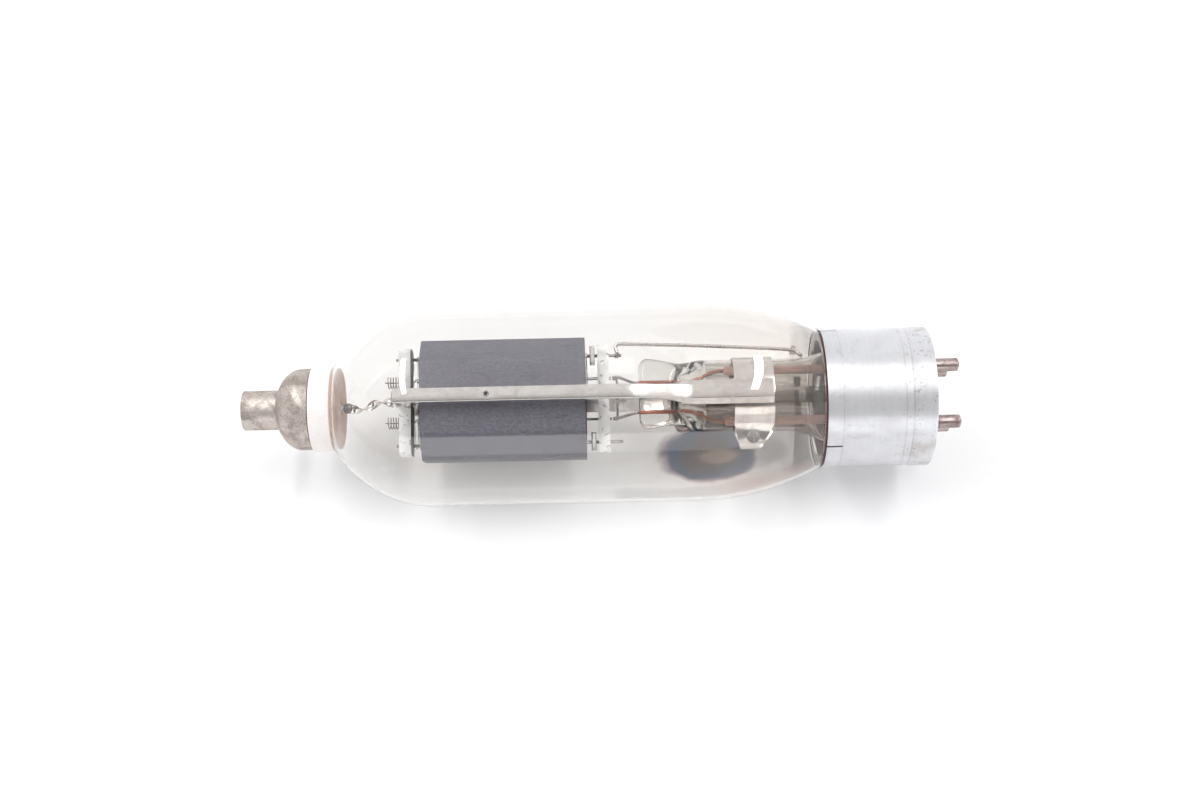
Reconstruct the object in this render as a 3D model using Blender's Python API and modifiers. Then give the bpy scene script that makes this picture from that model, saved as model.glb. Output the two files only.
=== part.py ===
"""Transmitting triode lying on its side: glass envelope, metal base, top cap and electrode cage.

The tube lies along X on a level surface, base and pins towards +X, top cap towards -X, +Z up.
Every piece is modelled in a frame whose own Z runs from the base rim to the cap, so a piece's Z
is its station: how far it is from the base rim.  In the base and cage frames X points to the
front of the cage, where the front bar runs, and Y runs across the width of the anode.
"""

import math

import bmesh
import bpy
from mathutils import Matrix, Vector

MM = 0.001
GAP = 0.3 * MM

# The whole tube
PIN_TIP_STATION = -10.4 * MM
CAP_TIP_STATION = 246.7 * MM
FRONT_TURN = math.radians(-28)

# Glass envelope
BULB_RADIUS = 36.2 * MM
BULB_SIDES = 24
BULB_WALL = 1.2 * MM
SHOULDER_ARC = 100.0 * MM
SHOULDER_TOP = 84.0 * MM
DOME_ARC = 42.0 * MM
DOME_BASE = 177.4 * MM
NECK_STATION = 213.3 * MM
NECK_RADIUS = 10.6 * MM
SKIRT_RADIUS = 22.4 * MM
SKIRT_END = 29.0 * MM

NECK_TOP = 223.0 * MM
BULB_TIP = 227.6 * MM
SKIRT_RIM = 39.4 * MM

# Base
BASE_RADIUS = 24.9 * MM
BASE_HEIGHT = 38.4 * MM
BASE_WALL = 0.6 * MM
BASE_RING = 8.1 * MM
SLIT_LENGTH = 5.5 * MM
SLIT_ANGLES = (70.0, -50.0, -170.0)
WAFER_BOTTOM = 1.6 * MM
WAFER_TOP = 5.6 * MM
PIN_RADIUS = 2.38 * MM
PIN_CIRCLE = 14.3 * MM
PIN_ANGLES = (45.0, -45.0, -135.0, 135.0)
BAYONET_STATION = 12.0 * MM
BAYONET_RADIUS = 1.2 * MM
BAYONET_REACH = 3.4 * MM
SLIT_WIDTH = 0.8 * MM
CEMENT_LIP = 0.35 * MM
CEMENT_LOW = 31.0 * MM

# Top cap
RING_RADIUS = 15.5 * MM
RING_BOTTOM = 213.8 * MM
RING_TOP = 221.4 * MM
CAP_RADIUS = 14.75 * MM
CAP_WALL = 0.6 * MM
CAP_SKIRT_TOP = 225.3 * MM
POST_RADIUS = 7.2 * MM
POST_BOTTOM = 234.0 * MM
CAP_STEPS = 7
ANODE_LEAD_RADIUS = 0.85 * MM

# Stem
CAGE_RISE = 1.55 * MM
STEM_RADIUS = 13.1 * MM
STEM_WALL = 1.2 * MM
STEM_SIDES = 24
PRESS_TOP = 103.7 * MM
PRESS_WIDTH = 12.8 * MM
PRESS_DEPTH = 3.25 * MM
SHOULDER_STATION = 78.0 * MM
EXHAUST_RADIUS = 3.0 * MM
EXHAUST_WALL = 0.8 * MM
SEAL_SPREAD = 5.4 * MM
SEAL_BOTTOM = 88.8 * MM
SEAL_RADIUS = 0.6 * MM
PIN_WIRE_RADIUS = 0.5 * MM
PIN_WIRE_FOOT = 9.4 * MM
PIN_WIRE_BEND = 12.0 * MM

# Cage
BAR_FRONT = 22.8 * MM
BAR_AT_STEM = 16.3 * MM
BAR_FACE = 2.4 * MM
BAR_LEG = 2.55 * MM
BAR_FOOT = 4.5 * MM
BAR_DEPTH = 2.0 * MM
SHEET = 0.45 * MM
BAR_BOTTOM = 56.4 * MM
BAR_TOP = 190.2 * MM
BEND_BOTTOM = 85.7 * MM
BEND_TOP = 107.5 * MM
STUD_STATION = 157.5 * MM
STUD_RADIUS = 1.5 * MM
STUD_BORE = 0.75 * MM
STUD_LENGTH = 6.4 * MM
YOKE_LEG_END = 184.0 * MM
YOKE_HALF_WIDTH = 1.6 * MM
BAND_BOTTOM = 55.9 * MM
BAND_TOP = 70.1 * MM
BAND_RADIUS = 13.72 * MM
EAR_FRONT = 7.2 * MM
EAR_END = -19.8 * MM
SCREW_SIDE = -15.4 * MM
SCREW_STATION = 63.4 * MM
BASE_SPACER = (114.4 * MM, 118.5 * MM)
CAP_SPACER = (185.7 * MM, 190.0 * MM)
SPACER_WIDTH = 19.4 * MM
SPACER_DEPTH = 4.9 * MM
ANODE_BOTTOM = 122.9 * MM
ANODE_TOP = 181.6 * MM
ANODE_WIDTH = 21.4 * MM
ANODE_FACE = 13.0 * MM
ANODE_DEPTH = 15.5 * MM
ANODE_SIDE = 7.0 * MM
BORE_WIDTH = 18.2 * MM
BORE_DEPTH = 11.5 * MM
GRID_ROD_SIDE = 15.7 * MM
GRID_ROD_RADIUS = 0.58 * MM
GRID_WIDTH = 16.85 * MM
GRID_DEPTH = 5.0 * MM
GRID_PITCH = 3.1 * MM
FILAMENT_SIDE = 7.35 * MM
FILAMENT_SPREAD = 2.2 * MM
FILAMENT_RADIUS = 0.25 * MM
FILAMENT_CROWN = 181.4 * MM
HOOK_TOP = 195.2 * MM
HOOK_RADIUS = 0.28 * MM
SPRING_RADIUS = 2.05 * MM
SPRING_PITCH = 0.95 * MM
SPRING_TURNS = 4.3
RIBBON_BOTTOM = 192.6 * MM
RIBBON_TOP = 208.6 * MM
RIBBON_HALF_WIDTH = 1.75 * MM
RIBBON_SWAY = 0.9 * MM
LEAD_RADIUS = 0.6 * MM

# Finish: colour, roughness, metallic, transmission
FINISHES = {
    "clear_glass": ((0.93, 0.92, 0.90), 0.03, 0.0, 1.0),
    "bright_aluminium": ((0.86, 0.87, 0.90), 0.28, 1.0, 0.0),
    "white_ceramic": ((0.90, 0.86, 0.83), 0.55, 0.0, 0.0),
    "bare_ceramic": ((0.82, 0.81, 0.78), 0.70, 0.0, 0.0),
    "brown_cement": ((0.16, 0.06, 0.03), 0.75, 0.0, 0.0),
    "tarnished_brass": ((0.33, 0.23, 0.19), 0.45, 1.0, 0.0),
    "tarnished_nickel": ((0.50, 0.42, 0.36), 0.36, 1.0, 0.0),
    "bright_nickel": ((0.66, 0.63, 0.61), 0.24, 1.0, 0.0),
    "graphite": ((0.12, 0.115, 0.125), 0.80, 0.0, 0.0),
    "molybdenum": ((0.30, 0.28, 0.27), 0.40, 1.0, 0.0),
    "tungsten": ((0.20, 0.19, 0.19), 0.50, 1.0, 0.0),
    "copper_wire": ((0.48, 0.20, 0.12), 0.40, 1.0, 0.0),
    "getter_metal": ((0.30, 0.27, 0.25), 0.45, 1.0, 0.0),
}


def clear_scene():
    for obj in list(bpy.data.objects):
        bpy.data.objects.remove(obj, do_unlink=True)


def add_collection(name):
    collection = bpy.data.collections.new(name)
    bpy.context.scene.collection.children.link(collection)
    return collection


def add_material(piece, finish):
    colour, roughness, metallic, transmission = FINISHES[finish]
    material = bpy.data.materials.new(piece + "_" + finish)
    material.use_nodes = True
    shader = material.node_tree.nodes["Principled BSDF"]
    shader.inputs["Base Color"].default_value = (*colour, 1.0)
    shader.inputs["Roughness"].default_value = roughness
    shader.inputs["Metallic"].default_value = metallic
    shader.inputs["Transmission Weight"].default_value = transmission
    return material


def add_frame(name, parent, location, rotation):
    frame = bpy.data.objects.new(name, None)
    frame.location = location
    frame.rotation_euler = rotation
    frame.parent = parent
    parts.objects.link(frame)
    return frame


def add_piece(name, data, frame, finish):
    piece = bpy.data.objects.new(name, data)
    piece.parent = frame
    parts.objects.link(piece)
    data.materials.append(add_material(name, finish))
    return piece


# ---- Shapes -------------------------------------------------------------------------------------


def arc(centre, radius, start, end, steps):
    """Points along an arc of (radius, station) profile or (x, y) outline; angles in degrees."""
    points = []
    for step in range(steps + 1):
        angle = math.radians(start + (end - start) * step / steps)
        points.append((centre[0] + radius * math.cos(angle), centre[1] + radius * math.sin(angle)))
    return points


def circle(centre, radius, steps=12):
    return arc(centre, radius, 0.0, 360.0, steps)[:-1]


def rounded(corners, radius, steps=3):
    """Outline of a convex polygon, given anticlockwise, with every corner rounded by an arc."""
    outline = []
    for index, corner in enumerate(corners):
        here = Vector(corner)
        before = (Vector(corners[index - 1]) - here).normalized()
        after = (Vector(corners[(index + 1) % len(corners)]) - here).normalized()
        half = before.angle(after) / 2
        centre = here + (before + after).normalized() * radius / math.sin(half)
        turn = 180.0 - 2 * math.degrees(half)
        middle = math.degrees(math.atan2(here.y - centre.y, here.x - centre.x))
        outline += arc(centre, radius, middle - turn / 2, middle + turn / 2, steps)
    return outline


def turned(name, profile, frame, finish, sides, closed=True):
    """Body of revolution about the frame's Z from (radius, station) points, cap end first."""
    count = len(profile)
    edges = [(i, i + 1) for i in range(count - 1)]
    if closed:
        edges.append((count - 1, 0))
    mesh = bpy.data.meshes.new(name)
    mesh.from_pydata([(radius, 0.0, station) for radius, station in profile], edges, [])
    piece = add_piece(name, mesh, frame, finish)
    screw = piece.modifiers.new("turn", "SCREW")
    screw.axis = "Z"
    screw.angle = 2 * math.pi
    screw.steps = sides
    screw.render_steps = sides
    screw.use_merge_vertices = True
    screw.merge_threshold = 0.00001
    screw.use_smooth_shade = True
    return piece


def plate(name, outlines, stations, frame, finish):
    """Flat piece between two stations: the first outline is its edge, the others are holes."""
    curve = bpy.data.curves.new(name, "CURVE")
    curve.dimensions = "2D"
    curve.fill_mode = "BOTH"
    curve.extrude = (stations[1] - stations[0]) / 2
    for outline in outlines:
        spline = curve.splines.new("POLY")
        spline.points.add(len(outline) - 1)
        for point, (x, y) in zip(spline.points, outline):
            point.co = (x, y, 0.0, 1.0)
        spline.use_cyclic_u = True
    piece = add_piece(name, curve, frame, finish)
    piece.location = (0.0, 0.0, (stations[0] + stations[1]) / 2)
    weld = piece.modifiers.new("weld", "WELD")
    weld.merge_threshold = 0.00001
    return piece


def wire(name, path, radius, frame, finish, resolution=1):
    """Round wire or rod along a path of points."""
    curve = bpy.data.curves.new(name, "CURVE")
    curve.dimensions = "3D"
    curve.bevel_depth = radius
    curve.bevel_resolution = resolution
    curve.use_fill_caps = True
    spline = curve.splines.new("POLY")
    spline.points.add(len(path) - 1)
    for point, place in zip(spline.points, path):
        point.co = (*place, 1.0)
    return add_piece(name, curve, frame, finish)


def sheet(name, rows, frame, finish, thickness=SHEET):
    """Bent sheet metal: a skin over rows of points, thickened equally to both sides."""
    mesh = bpy.data.meshes.new(name)
    skin = bmesh.new()
    grid = [[skin.verts.new(point) for point in row] for row in rows]
    for lower, upper in zip(grid, grid[1:]):
        for i in range(len(lower) - 1):
            skin.faces.new((lower[i], lower[i + 1], upper[i + 1], upper[i]))
    skin.to_mesh(mesh)
    skin.free()
    piece = add_piece(name, mesh, frame, finish)
    solidify = piece.modifiers.new("thickness", "SOLIDIFY")
    solidify.thickness = thickness
    solidify.offset = 0.0
    solidify.use_even_offset = True
    return piece


def loft(name, rings, frame, finish):
    """Closed body through a run of rings with equal point counts, capped at both ends."""
    body = bmesh.new()
    loops = [[body.verts.new(point) for point in ring] for ring in rings]
    for lower, upper in zip(loops, loops[1:]):
        for i in range(len(lower)):
            j = (i + 1) % len(lower)
            body.faces.new((lower[i], lower[j], upper[j], upper[i]))
    body.faces.new(list(reversed(loops[0])))
    body.faces.new(loops[-1])
    mesh = bpy.data.meshes.new(name)
    body.to_mesh(mesh)
    body.free()
    mesh.shade_smooth()
    mesh.set_sharp_from_angle(angle=math.radians(40))
    return add_piece(name, mesh, frame, finish)


def rod_between(start, end, radius, sides=16):
    """Mesh of a straight round rod from one point to another."""
    start = Vector(start)
    axis = Vector(end) - start
    turn = axis.to_track_quat("Z", "Y").to_matrix().to_4x4()
    body = bmesh.new()
    bmesh.ops.create_cone(
        body,
        cap_ends=True,
        segments=sides,
        radius1=radius,
        radius2=radius,
        depth=axis.length,
        matrix=Matrix.Translation(start + axis / 2) @ turn,
    )
    mesh = bpy.data.meshes.new("rod")
    body.to_mesh(mesh)
    body.free()
    return mesh


def box_mesh(size, centre, turn=0.0):
    """Mesh of a box; turn swings it about the frame's Z after it is placed, in degrees."""
    body = bmesh.new()
    scale = Matrix.Diagonal((*size, 1.0))
    place = Matrix.Rotation(math.radians(turn), 4, "Z") @ Matrix.Translation(centre)
    bmesh.ops.create_cube(body, size=1.0, matrix=place @ scale)
    mesh = bpy.data.meshes.new("box")
    body.to_mesh(mesh)
    body.free()
    return mesh


def cut(piece, mesh):
    """Take a cutter's shape away from a piece that shares its frame."""
    cutter = bpy.data.objects.new(piece.name + "_cutter", mesh)
    cutter.parent = piece.parent
    cutter.hide_render = True
    cutter.display_type = "WIRE"
    cutters.objects.link(cutter)
    boolean = piece.modifiers.new("cut", "BOOLEAN")
    boolean.operation = "DIFFERENCE"
    boolean.solver = "EXACT"
    boolean.object = cutter


def polar(radius, degrees):
    angle = math.radians(degrees)
    return radius * math.cos(angle), radius * math.sin(angle)


def coil_path(centre, radius, pitch, turns, per_turn):
    """Points along a helix that starts at the centre's station and climbs towards the cap."""
    path = []
    for step in range(round(turns * per_turn) + 1):
        angle = 2 * math.pi * step / per_turn
        path.append(
            (
                centre[0] + radius[0] * math.cos(angle),
                centre[1] + radius[1] * math.sin(angle),
                centre[2] + pitch * step / per_turn,
            )
        )
    return path


# ---- Envelope and stem --------------------------------------------------------------------------


def dome_profile(offset):
    """Cap end of the bulb from the neck to the straight wall, drawn in by the offset."""
    centre_radius = BULB_RADIUS - DOME_ARC
    radius = DOME_ARC - offset
    end = math.degrees(math.asin((NECK_STATION - offset - DOME_BASE) / radius))
    return arc((centre_radius, DOME_BASE), radius, end, 0.0, 8)


def shoulder_profile(offset):
    """Base end of the bulb from the straight wall down to the base rim, drawn in by the offset."""
    centre_radius = BULB_RADIUS - SHOULDER_ARC
    radius = SHOULDER_ARC - offset
    end = math.degrees(math.asin((SKIRT_RIM + 0.1 * MM - SHOULDER_TOP) / radius))
    return arc((centre_radius, SHOULDER_TOP), radius, 0.0, end, 7)


def glass_bulb(frame):
    lead_hole = ANODE_LEAD_RADIUS + GAP
    neck_inner = NECK_RADIUS - BULB_WALL
    skirt_inner = SKIRT_RADIUS - BULB_WALL
    outer = [(lead_hole, BULB_TIP), (5.5 * MM, BULB_TIP - 0.7 * MM), (9.2 * MM, BULB_TIP - 2.4 * MM)]
    outer += [(NECK_RADIUS, NECK_TOP), (NECK_RADIUS, NECK_STATION)]
    outer += dome_profile(0.0) + shoulder_profile(0.0)
    outer += [(SKIRT_RADIUS + 0.8 * MM, SKIRT_RIM), (SKIRT_RADIUS, SKIRT_RIM - 1.0 * MM)]
    outer += [(SKIRT_RADIUS, SKIRT_END)]
    inner = [(skirt_inner, SKIRT_END), (skirt_inner, SKIRT_RIM)]
    inner += reversed(shoulder_profile(BULB_WALL))
    inner += reversed(dome_profile(BULB_WALL))
    inner += [(neck_inner, NECK_STATION + 0.6 * MM), (neck_inner, NECK_TOP - 0.4 * MM)]
    inner += [(7.8 * MM, BULB_TIP - 3.2 * MM), (lead_hole, BULB_TIP - 1.4 * MM)]
    facet = 1.0 / math.cos(math.pi / BULB_SIDES)
    profile = [(radius * facet, station) for radius, station in outer + inner]
    bulb = turned("glass_bulb", profile, frame, "clear_glass", BULB_SIDES)
    bulb.rotation_euler.z = math.pi / BULB_SIDES


def stem_ring(station, depth, width, squareness):
    """One ring of the stem: a circle low down that squares off into the flat press above."""
    settle = min(max((station - 30 * MM) / (20 * MM), 0.0), 1.0)
    drop = CAGE_RISE * (1.0 - settle)
    ring = []
    for step in range(STEM_SIDES):
        angle = 2 * math.pi * step / STEM_SIDES
        x = math.copysign(abs(math.cos(angle)) ** (2 / squareness), math.cos(angle))
        y = math.copysign(abs(math.sin(angle)) ** (2 / squareness), math.sin(angle))
        ring.append((depth * x, width * y - drop, station))
    return ring


def stem_wall(offset):
    """Rings of the flared stem tube from its rim up, drawn in by the offset."""
    sections = [(29.4 * MM, 20.8 * MM), (31.5 * MM, 20.2 * MM), (36.0 * MM, 17.4 * MM)]
    sections += [(40.0 * MM, 15.2 * MM), (44.0 * MM, 13.9 * MM), (50.0 * MM, STEM_RADIUS)]
    sections.append((SHOULDER_STATION, STEM_RADIUS))
    return [stem_ring(station, radius - offset, radius - offset, 2.0) for station, radius in sections]


def glass_stem(frame):
    inner = stem_wall(STEM_WALL)
    inner.append(stem_ring(82.0 * MM, 9.6 * MM, 11.0 * MM, 2.0))
    inner.append(stem_ring(85.5 * MM, 5.0 * MM, 8.6 * MM, 2.2))
    inner.append(stem_ring(88.5 * MM, 1.8 * MM, 6.6 * MM, 2.4))
    outer = stem_wall(0.0)
    outer.append(stem_ring(82.0 * MM, 11.6 * MM, 12.9 * MM, 2.1))
    outer.append(stem_ring(86.0 * MM, 8.0 * MM, 11.8 * MM, 2.6))
    outer.append(stem_ring(90.0 * MM, 4.7 * MM, 11.3 * MM, 4.0))
    outer.append(stem_ring(94.0 * MM, PRESS_DEPTH, 11.9 * MM, 6.0))
    outer.append(stem_ring(PRESS_TOP - 3.0 * MM, PRESS_DEPTH, PRESS_WIDTH, 6.0))
    outer.append(stem_ring(PRESS_TOP - 0.9 * MM, PRESS_DEPTH - 0.4 * MM, PRESS_WIDTH - 0.9 * MM, 5.0))
    outer.append(stem_ring(PRESS_TOP, PRESS_DEPTH - 1.3 * MM, PRESS_WIDTH - 2.6 * MM, 4.0))
    stem = loft("glass_stem", list(reversed(inner)) + outer, frame, "clear_glass")
    bottom = SEAL_BOTTOM - 2.8 * MM
    for side in (SEAL_SPREAD, -SEAL_SPREAD):
        cut(stem, rod_between((0, side, bottom), (0, side, PRESS_TOP + 1.3 * MM), 0.95 * MM))


def exhaust_tube(frame):
    bore = EXHAUST_RADIUS - EXHAUST_WALL
    top = 83.0 * MM
    profile = [(0.0, 16.0 * MM), (bore, 21.0 * MM), (bore, top), (EXHAUST_RADIUS, top)]
    profile += [(EXHAUST_RADIUS, 20.0 * MM), (1.6 * MM, 15.5 * MM), (0.0, 14.0 * MM)]
    turned("exhaust_tube", profile, frame, "clear_glass", 12, closed=False)


def press_seals(frame):
    for label, side in (("upper", SEAL_SPREAD), ("lower", -SEAL_SPREAD)):
        path = [(0, side, SEAL_BOTTOM), (0, side, PRESS_TOP - 0.1 * MM)]
        wire("seal_wire_" + label, path, SEAL_RADIUS, frame, "copper_wire")


def grid_bead(frame):
    """Glass bead where the grid lead enters the flare of the stem."""
    profile = arc((0.95 * MM, 0.0), 1.1 * MM, 90.0, -90.0, 6)
    bead = turned("grid_lead_bead", profile, frame, "clear_glass", 12)
    bead.location = (0.0, 15.9 * MM, 47.5 * MM)
    bead.rotation_euler.x = math.radians(-19)


# ---- Base ---------------------------------------------------------------------------------------


def base_shell(frame):
    crease = BASE_HEIGHT - SLIT_LENGTH
    inner = BASE_RADIUS - BASE_WALL
    profile = [(BASE_RADIUS, BASE_HEIGHT), (BASE_RADIUS, crease + 0.4 * MM)]
    profile += [(BASE_RADIUS - 0.2 * MM, crease), (BASE_RADIUS, crease - 0.4 * MM)]
    profile += [(BASE_RADIUS, BASE_RING + 0.5 * MM), (BASE_RADIUS - 0.25 * MM, BASE_RING)]
    profile += [(BASE_RADIUS + 0.2 * MM, BASE_RING - 0.5 * MM)]
    profile += arc((BASE_RADIUS - 1.0 * MM, 1.2 * MM), 1.2 * MM, 0.0, -90.0, 3)
    profile += [(BASE_RADIUS - 2.0 * MM, 0.0), (BASE_RADIUS - 2.0 * MM, BASE_WALL)]
    profile += [(inner - 0.4 * MM, BASE_WALL), (inner, 1.2 * MM), (inner, BASE_HEIGHT)]
    shell = turned("base_shell", profile, frame, "bright_aluminium", 40)
    for angle in SLIT_ANGLES:
        size = (4.0 * MM, SLIT_WIDTH, SLIT_LENGTH + 2.0 * MM)
        cut(shell, box_mesh(size, (BASE_RADIUS, 0.0, BASE_HEIGHT + 1.0 * MM - SLIT_LENGTH / 2), angle))
    start = (-BASE_RADIUS + 3.0 * MM, 0.0, BAYONET_STATION)
    end = (-BASE_RADIUS - 3.0 * MM, 0.0, BAYONET_STATION)
    cut(shell, rod_between(start, end, BAYONET_RADIUS + GAP))


def bayonet_pin(frame):
    head = BAYONET_RADIUS + 0.8 * MM
    profile = [(0.0, BAYONET_REACH), (0.8 * MM, BAYONET_REACH - 0.1 * MM)]
    profile += [(BAYONET_RADIUS, BAYONET_REACH - 0.6 * MM), (BAYONET_RADIUS, -GAP)]
    profile += [(head, -GAP), (head, -1.2 * MM), (0.0, -1.2 * MM)]
    pin = turned("bayonet_pin", profile, frame, "tarnished_brass", 14, closed=False)
    pin.location = (-BASE_RADIUS + BASE_WALL + 0.1 * MM, 0.0, BAYONET_STATION)
    pin.rotation_euler.y = math.radians(-90)


def base_wafer(frame):
    outline = circle((0, 0), BASE_RADIUS - BASE_WALL - 0.5 * MM, 40)
    holes = [circle(polar(PIN_CIRCLE, angle), PIN_RADIUS + GAP, 16) for angle in PIN_ANGLES]
    plate("base_wafer", [outline, *holes], (WAFER_BOTTOM, WAFER_TOP), frame, "white_ceramic")


def base_pins(frame):
    flange = WAFER_TOP + GAP
    for number, angle in enumerate(PIN_ANGLES, start=1):
        profile = [(0.0, 9.0 * MM), (PIN_RADIUS, 9.0 * MM), (PIN_RADIUS, flange + 1.0 * MM)]
        profile += [(3.4 * MM, flange + 1.0 * MM), (3.4 * MM, flange), (PIN_RADIUS, flange)]
        tip = PIN_TIP_STATION + 1.3 * MM
        profile += arc((PIN_RADIUS - 1.3 * MM, tip), 1.3 * MM, 0.0, -90.0, 3)
        profile.append((0.0, PIN_TIP_STATION))
        name = "pin_" + str(number)
        pin = turned(name, profile, frame, "tarnished_brass", 14, closed=False)
        pin.location = (*polar(PIN_CIRCLE, angle), 0.0)


def base_cement(frame):
    """Cement between the glass skirt and the shell, with the thin lip that shows at the rim."""
    inner = SKIRT_RADIUS + 0.4 * MM
    outer = BASE_RADIUS - BASE_WALL - 0.4 * MM
    lip = BASE_HEIGHT + GAP
    profile = [(BASE_RADIUS, lip + CEMENT_LIP), (BASE_RADIUS, lip), (outer, lip), (outer, CEMENT_LOW)]
    profile += [(inner, CEMENT_LOW), (inner, BASE_HEIGHT - 0.4 * MM)]
    profile.append((SKIRT_RADIUS + 1.4 * MM, lip + CEMENT_LIP))
    turned("base_cement", profile, frame, "brown_cement", 40)


def pin_wires(frame):
    """Copper leads from the pins up inside the stem; the press is a cage rise off the axis."""
    for label, angle, side in (("upper", 45.0, SEAL_SPREAD), ("lower", -45.0, -SEAL_SPREAD)):
        x, y = polar(PIN_CIRCLE, angle)
        lead = side + CAGE_RISE
        path = [(x, y, PIN_WIRE_FOOT), (x, y, PIN_WIRE_BEND), (0.4 * x, 0.75 * y, 2 * PIN_WIRE_BEND)]
        path += [(0, lead, 40.0 * MM), (0, lead, SEAL_BOTTOM - 0.4 * MM)]
        wire("filament_wire_" + label, path, PIN_WIRE_RADIUS, frame, "copper_wire")
    x, y = polar(PIN_CIRCLE, 135.0)
    path = [(x, y, PIN_WIRE_FOOT), (x, y, PIN_WIRE_BEND), (0.4 * x, 12.4 * MM, 26.0 * MM)]
    path.append((0, 13.2 * MM, 37.0 * MM))
    wire("grid_wire", path, PIN_WIRE_RADIUS, frame, "copper_wire")


# ---- Top cap ------------------------------------------------------------------------------------


def cap_insulator(frame):
    inner = NECK_RADIUS + 0.4 * MM
    edge = 0.5 * MM
    profile = [(inner, RING_TOP), (RING_RADIUS - edge, RING_TOP), (RING_RADIUS, RING_TOP - edge)]
    profile += [(RING_RADIUS, RING_BOTTOM + edge), (RING_RADIUS - edge, RING_BOTTOM)]
    profile += [(inner, RING_BOTTOM)]
    turned("cap_insulator_ring", profile, frame, "white_ceramic", 32)


def cap_outline(offset):
    """Cap from the post's edge down to its skirt; the shoulder is a quarter of an ellipse."""
    reach = CAP_RADIUS - offset
    rise = POST_BOTTOM - CAP_SKIRT_TOP - 0.4 * MM - offset
    start = math.acos((POST_RADIUS + 0.7 * MM) / CAP_RADIUS)
    points = [(POST_RADIUS - offset, CAP_TIP_STATION - 0.8 * MM - offset)]
    points.append((POST_RADIUS - offset, POST_BOTTOM))
    for step in range(1, CAP_STEPS + 1):
        angle = start * (1 - step / CAP_STEPS)
        height = rise * math.sin(angle) / math.sin(start)
        points.append((reach * math.cos(angle), CAP_SKIRT_TOP + height))
    points.append((reach, RING_TOP + GAP))
    return points


def cap_shell(frame):
    hole = ANODE_LEAD_RADIUS + 0.35 * MM
    outer = [(hole, CAP_TIP_STATION), (POST_RADIUS - 0.8 * MM, CAP_TIP_STATION)] + cap_outline(0.0)
    inner = list(reversed(cap_outline(CAP_WALL))) + [(hole, CAP_TIP_STATION - CAP_WALL)]
    turned("cap_shell", outer + inner, frame, "tarnished_nickel", 32)


def cap_cement(frame):
    inner = NECK_RADIUS + 0.4 * MM
    outer = CAP_RADIUS - CAP_WALL - 0.4 * MM
    top = CAP_SKIRT_TOP - 0.5 * MM
    profile = [(inner, top), (outer, top), (outer, RING_TOP + GAP), (inner, RING_TOP + GAP)]
    turned("cap_cement", profile, frame, "brown_cement", 32)


def anode_lead(frame):
    path = [(0, 0, 209.0 * MM), (0, 0, CAP_TIP_STATION - 0.3 * MM)]
    wire("anode_lead_rod", path, ANODE_LEAD_RADIUS, frame, "molybdenum", 2)


def anode_ribbon(frame):
    """Twisted strip that joins the top yoke to the lead rod on the tube's own axis."""
    steps = 20
    rows = []
    for step in range(steps + 1):
        part = step / steps
        twist = math.radians(60 + 430 * part)
        sway = -CAGE_RISE * part + RIBBON_SWAY * math.sin(2 * math.pi * part)
        across = Vector((math.cos(twist), math.sin(twist), 0.0)) * RIBBON_HALF_WIDTH
        middle = Vector((0.0, sway, RIBBON_BOTTOM + (RIBBON_TOP - RIBBON_BOTTOM) * part))
        rows.append([middle - across, middle + across])
    sheet("anode_ribbon", rows, frame, "bright_nickel", 0.3 * MM)


# ---- Cage ---------------------------------------------------------------------------------------


def support_bar(name, side, frame):
    """Channel that runs up from the stem band, steps outwards and passes the anode.

    Its legs splay into feet where it stands on the band, and stand straight further up.
    """
    part_way = BEND_BOTTOM + 0.35 * (BEND_TOP - BEND_BOTTOM)
    depth_there = BAR_AT_STEM + 0.35 * (BAR_FRONT - BAR_AT_STEM)
    path = [(BAR_AT_STEM, BAR_BOTTOM, BAR_FOOT), (BAR_AT_STEM, BEND_BOTTOM, BAR_FOOT)]
    path += [(depth_there, part_way, BAR_LEG), (BAR_FRONT, BEND_TOP, BAR_LEG)]
    path.append((BAR_FRONT, BAR_TOP, BAR_LEG))
    rows = []
    for x, station, leg in path:
        back = x - BAR_DEPTH
        row = [(back, -leg), (x, -BAR_FACE), (x, BAR_FACE), (back, leg)]
        rows.append([(side * depth, y, station) for depth, y in row])
    bar = sheet(name, rows, frame, "bright_nickel")
    start = (side * (BAR_FRONT - 3 * MM), 0.0, STUD_STATION)
    end = (side * (BAR_FRONT + 3 * MM), 0.0, STUD_STATION)
    cut(bar, rod_between(start, end, STUD_BORE, 12))


def anode_stud(name, side, frame):
    """Hollow rivet that holds the anode off the bar."""
    profile = [(STUD_BORE, STUD_LENGTH), (STUD_RADIUS, STUD_LENGTH), (STUD_RADIUS, 0.0), (STUD_BORE, 0.0)]
    stud = turned(name, profile, frame, "molybdenum", 12)
    stud.location = (side * (ANODE_DEPTH + GAP), 0.0, STUD_STATION)
    stud.rotation_euler.y = math.radians(90 * side)


def top_yoke(frame):
    """Strap across the cage's cap end, its two legs turned down inside the bars."""
    reach = BAR_FRONT - 0.8 * MM
    across = CAP_SPACER[1] + 0.55 * MM
    path = [(reach, YOKE_LEG_END), (reach, across), (-reach, across), (-reach, YOKE_LEG_END)]
    rows = [[(x, -YOKE_HALF_WIDTH, z), (x, YOKE_HALF_WIDTH, z)] for x, z in path]
    yoke = sheet("top_yoke", rows, frame, "bright_nickel")
    cut(yoke, rod_between((0, 0, across - 2 * MM), (0, 0, across + 2 * MM), 1.2 * MM))


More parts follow.
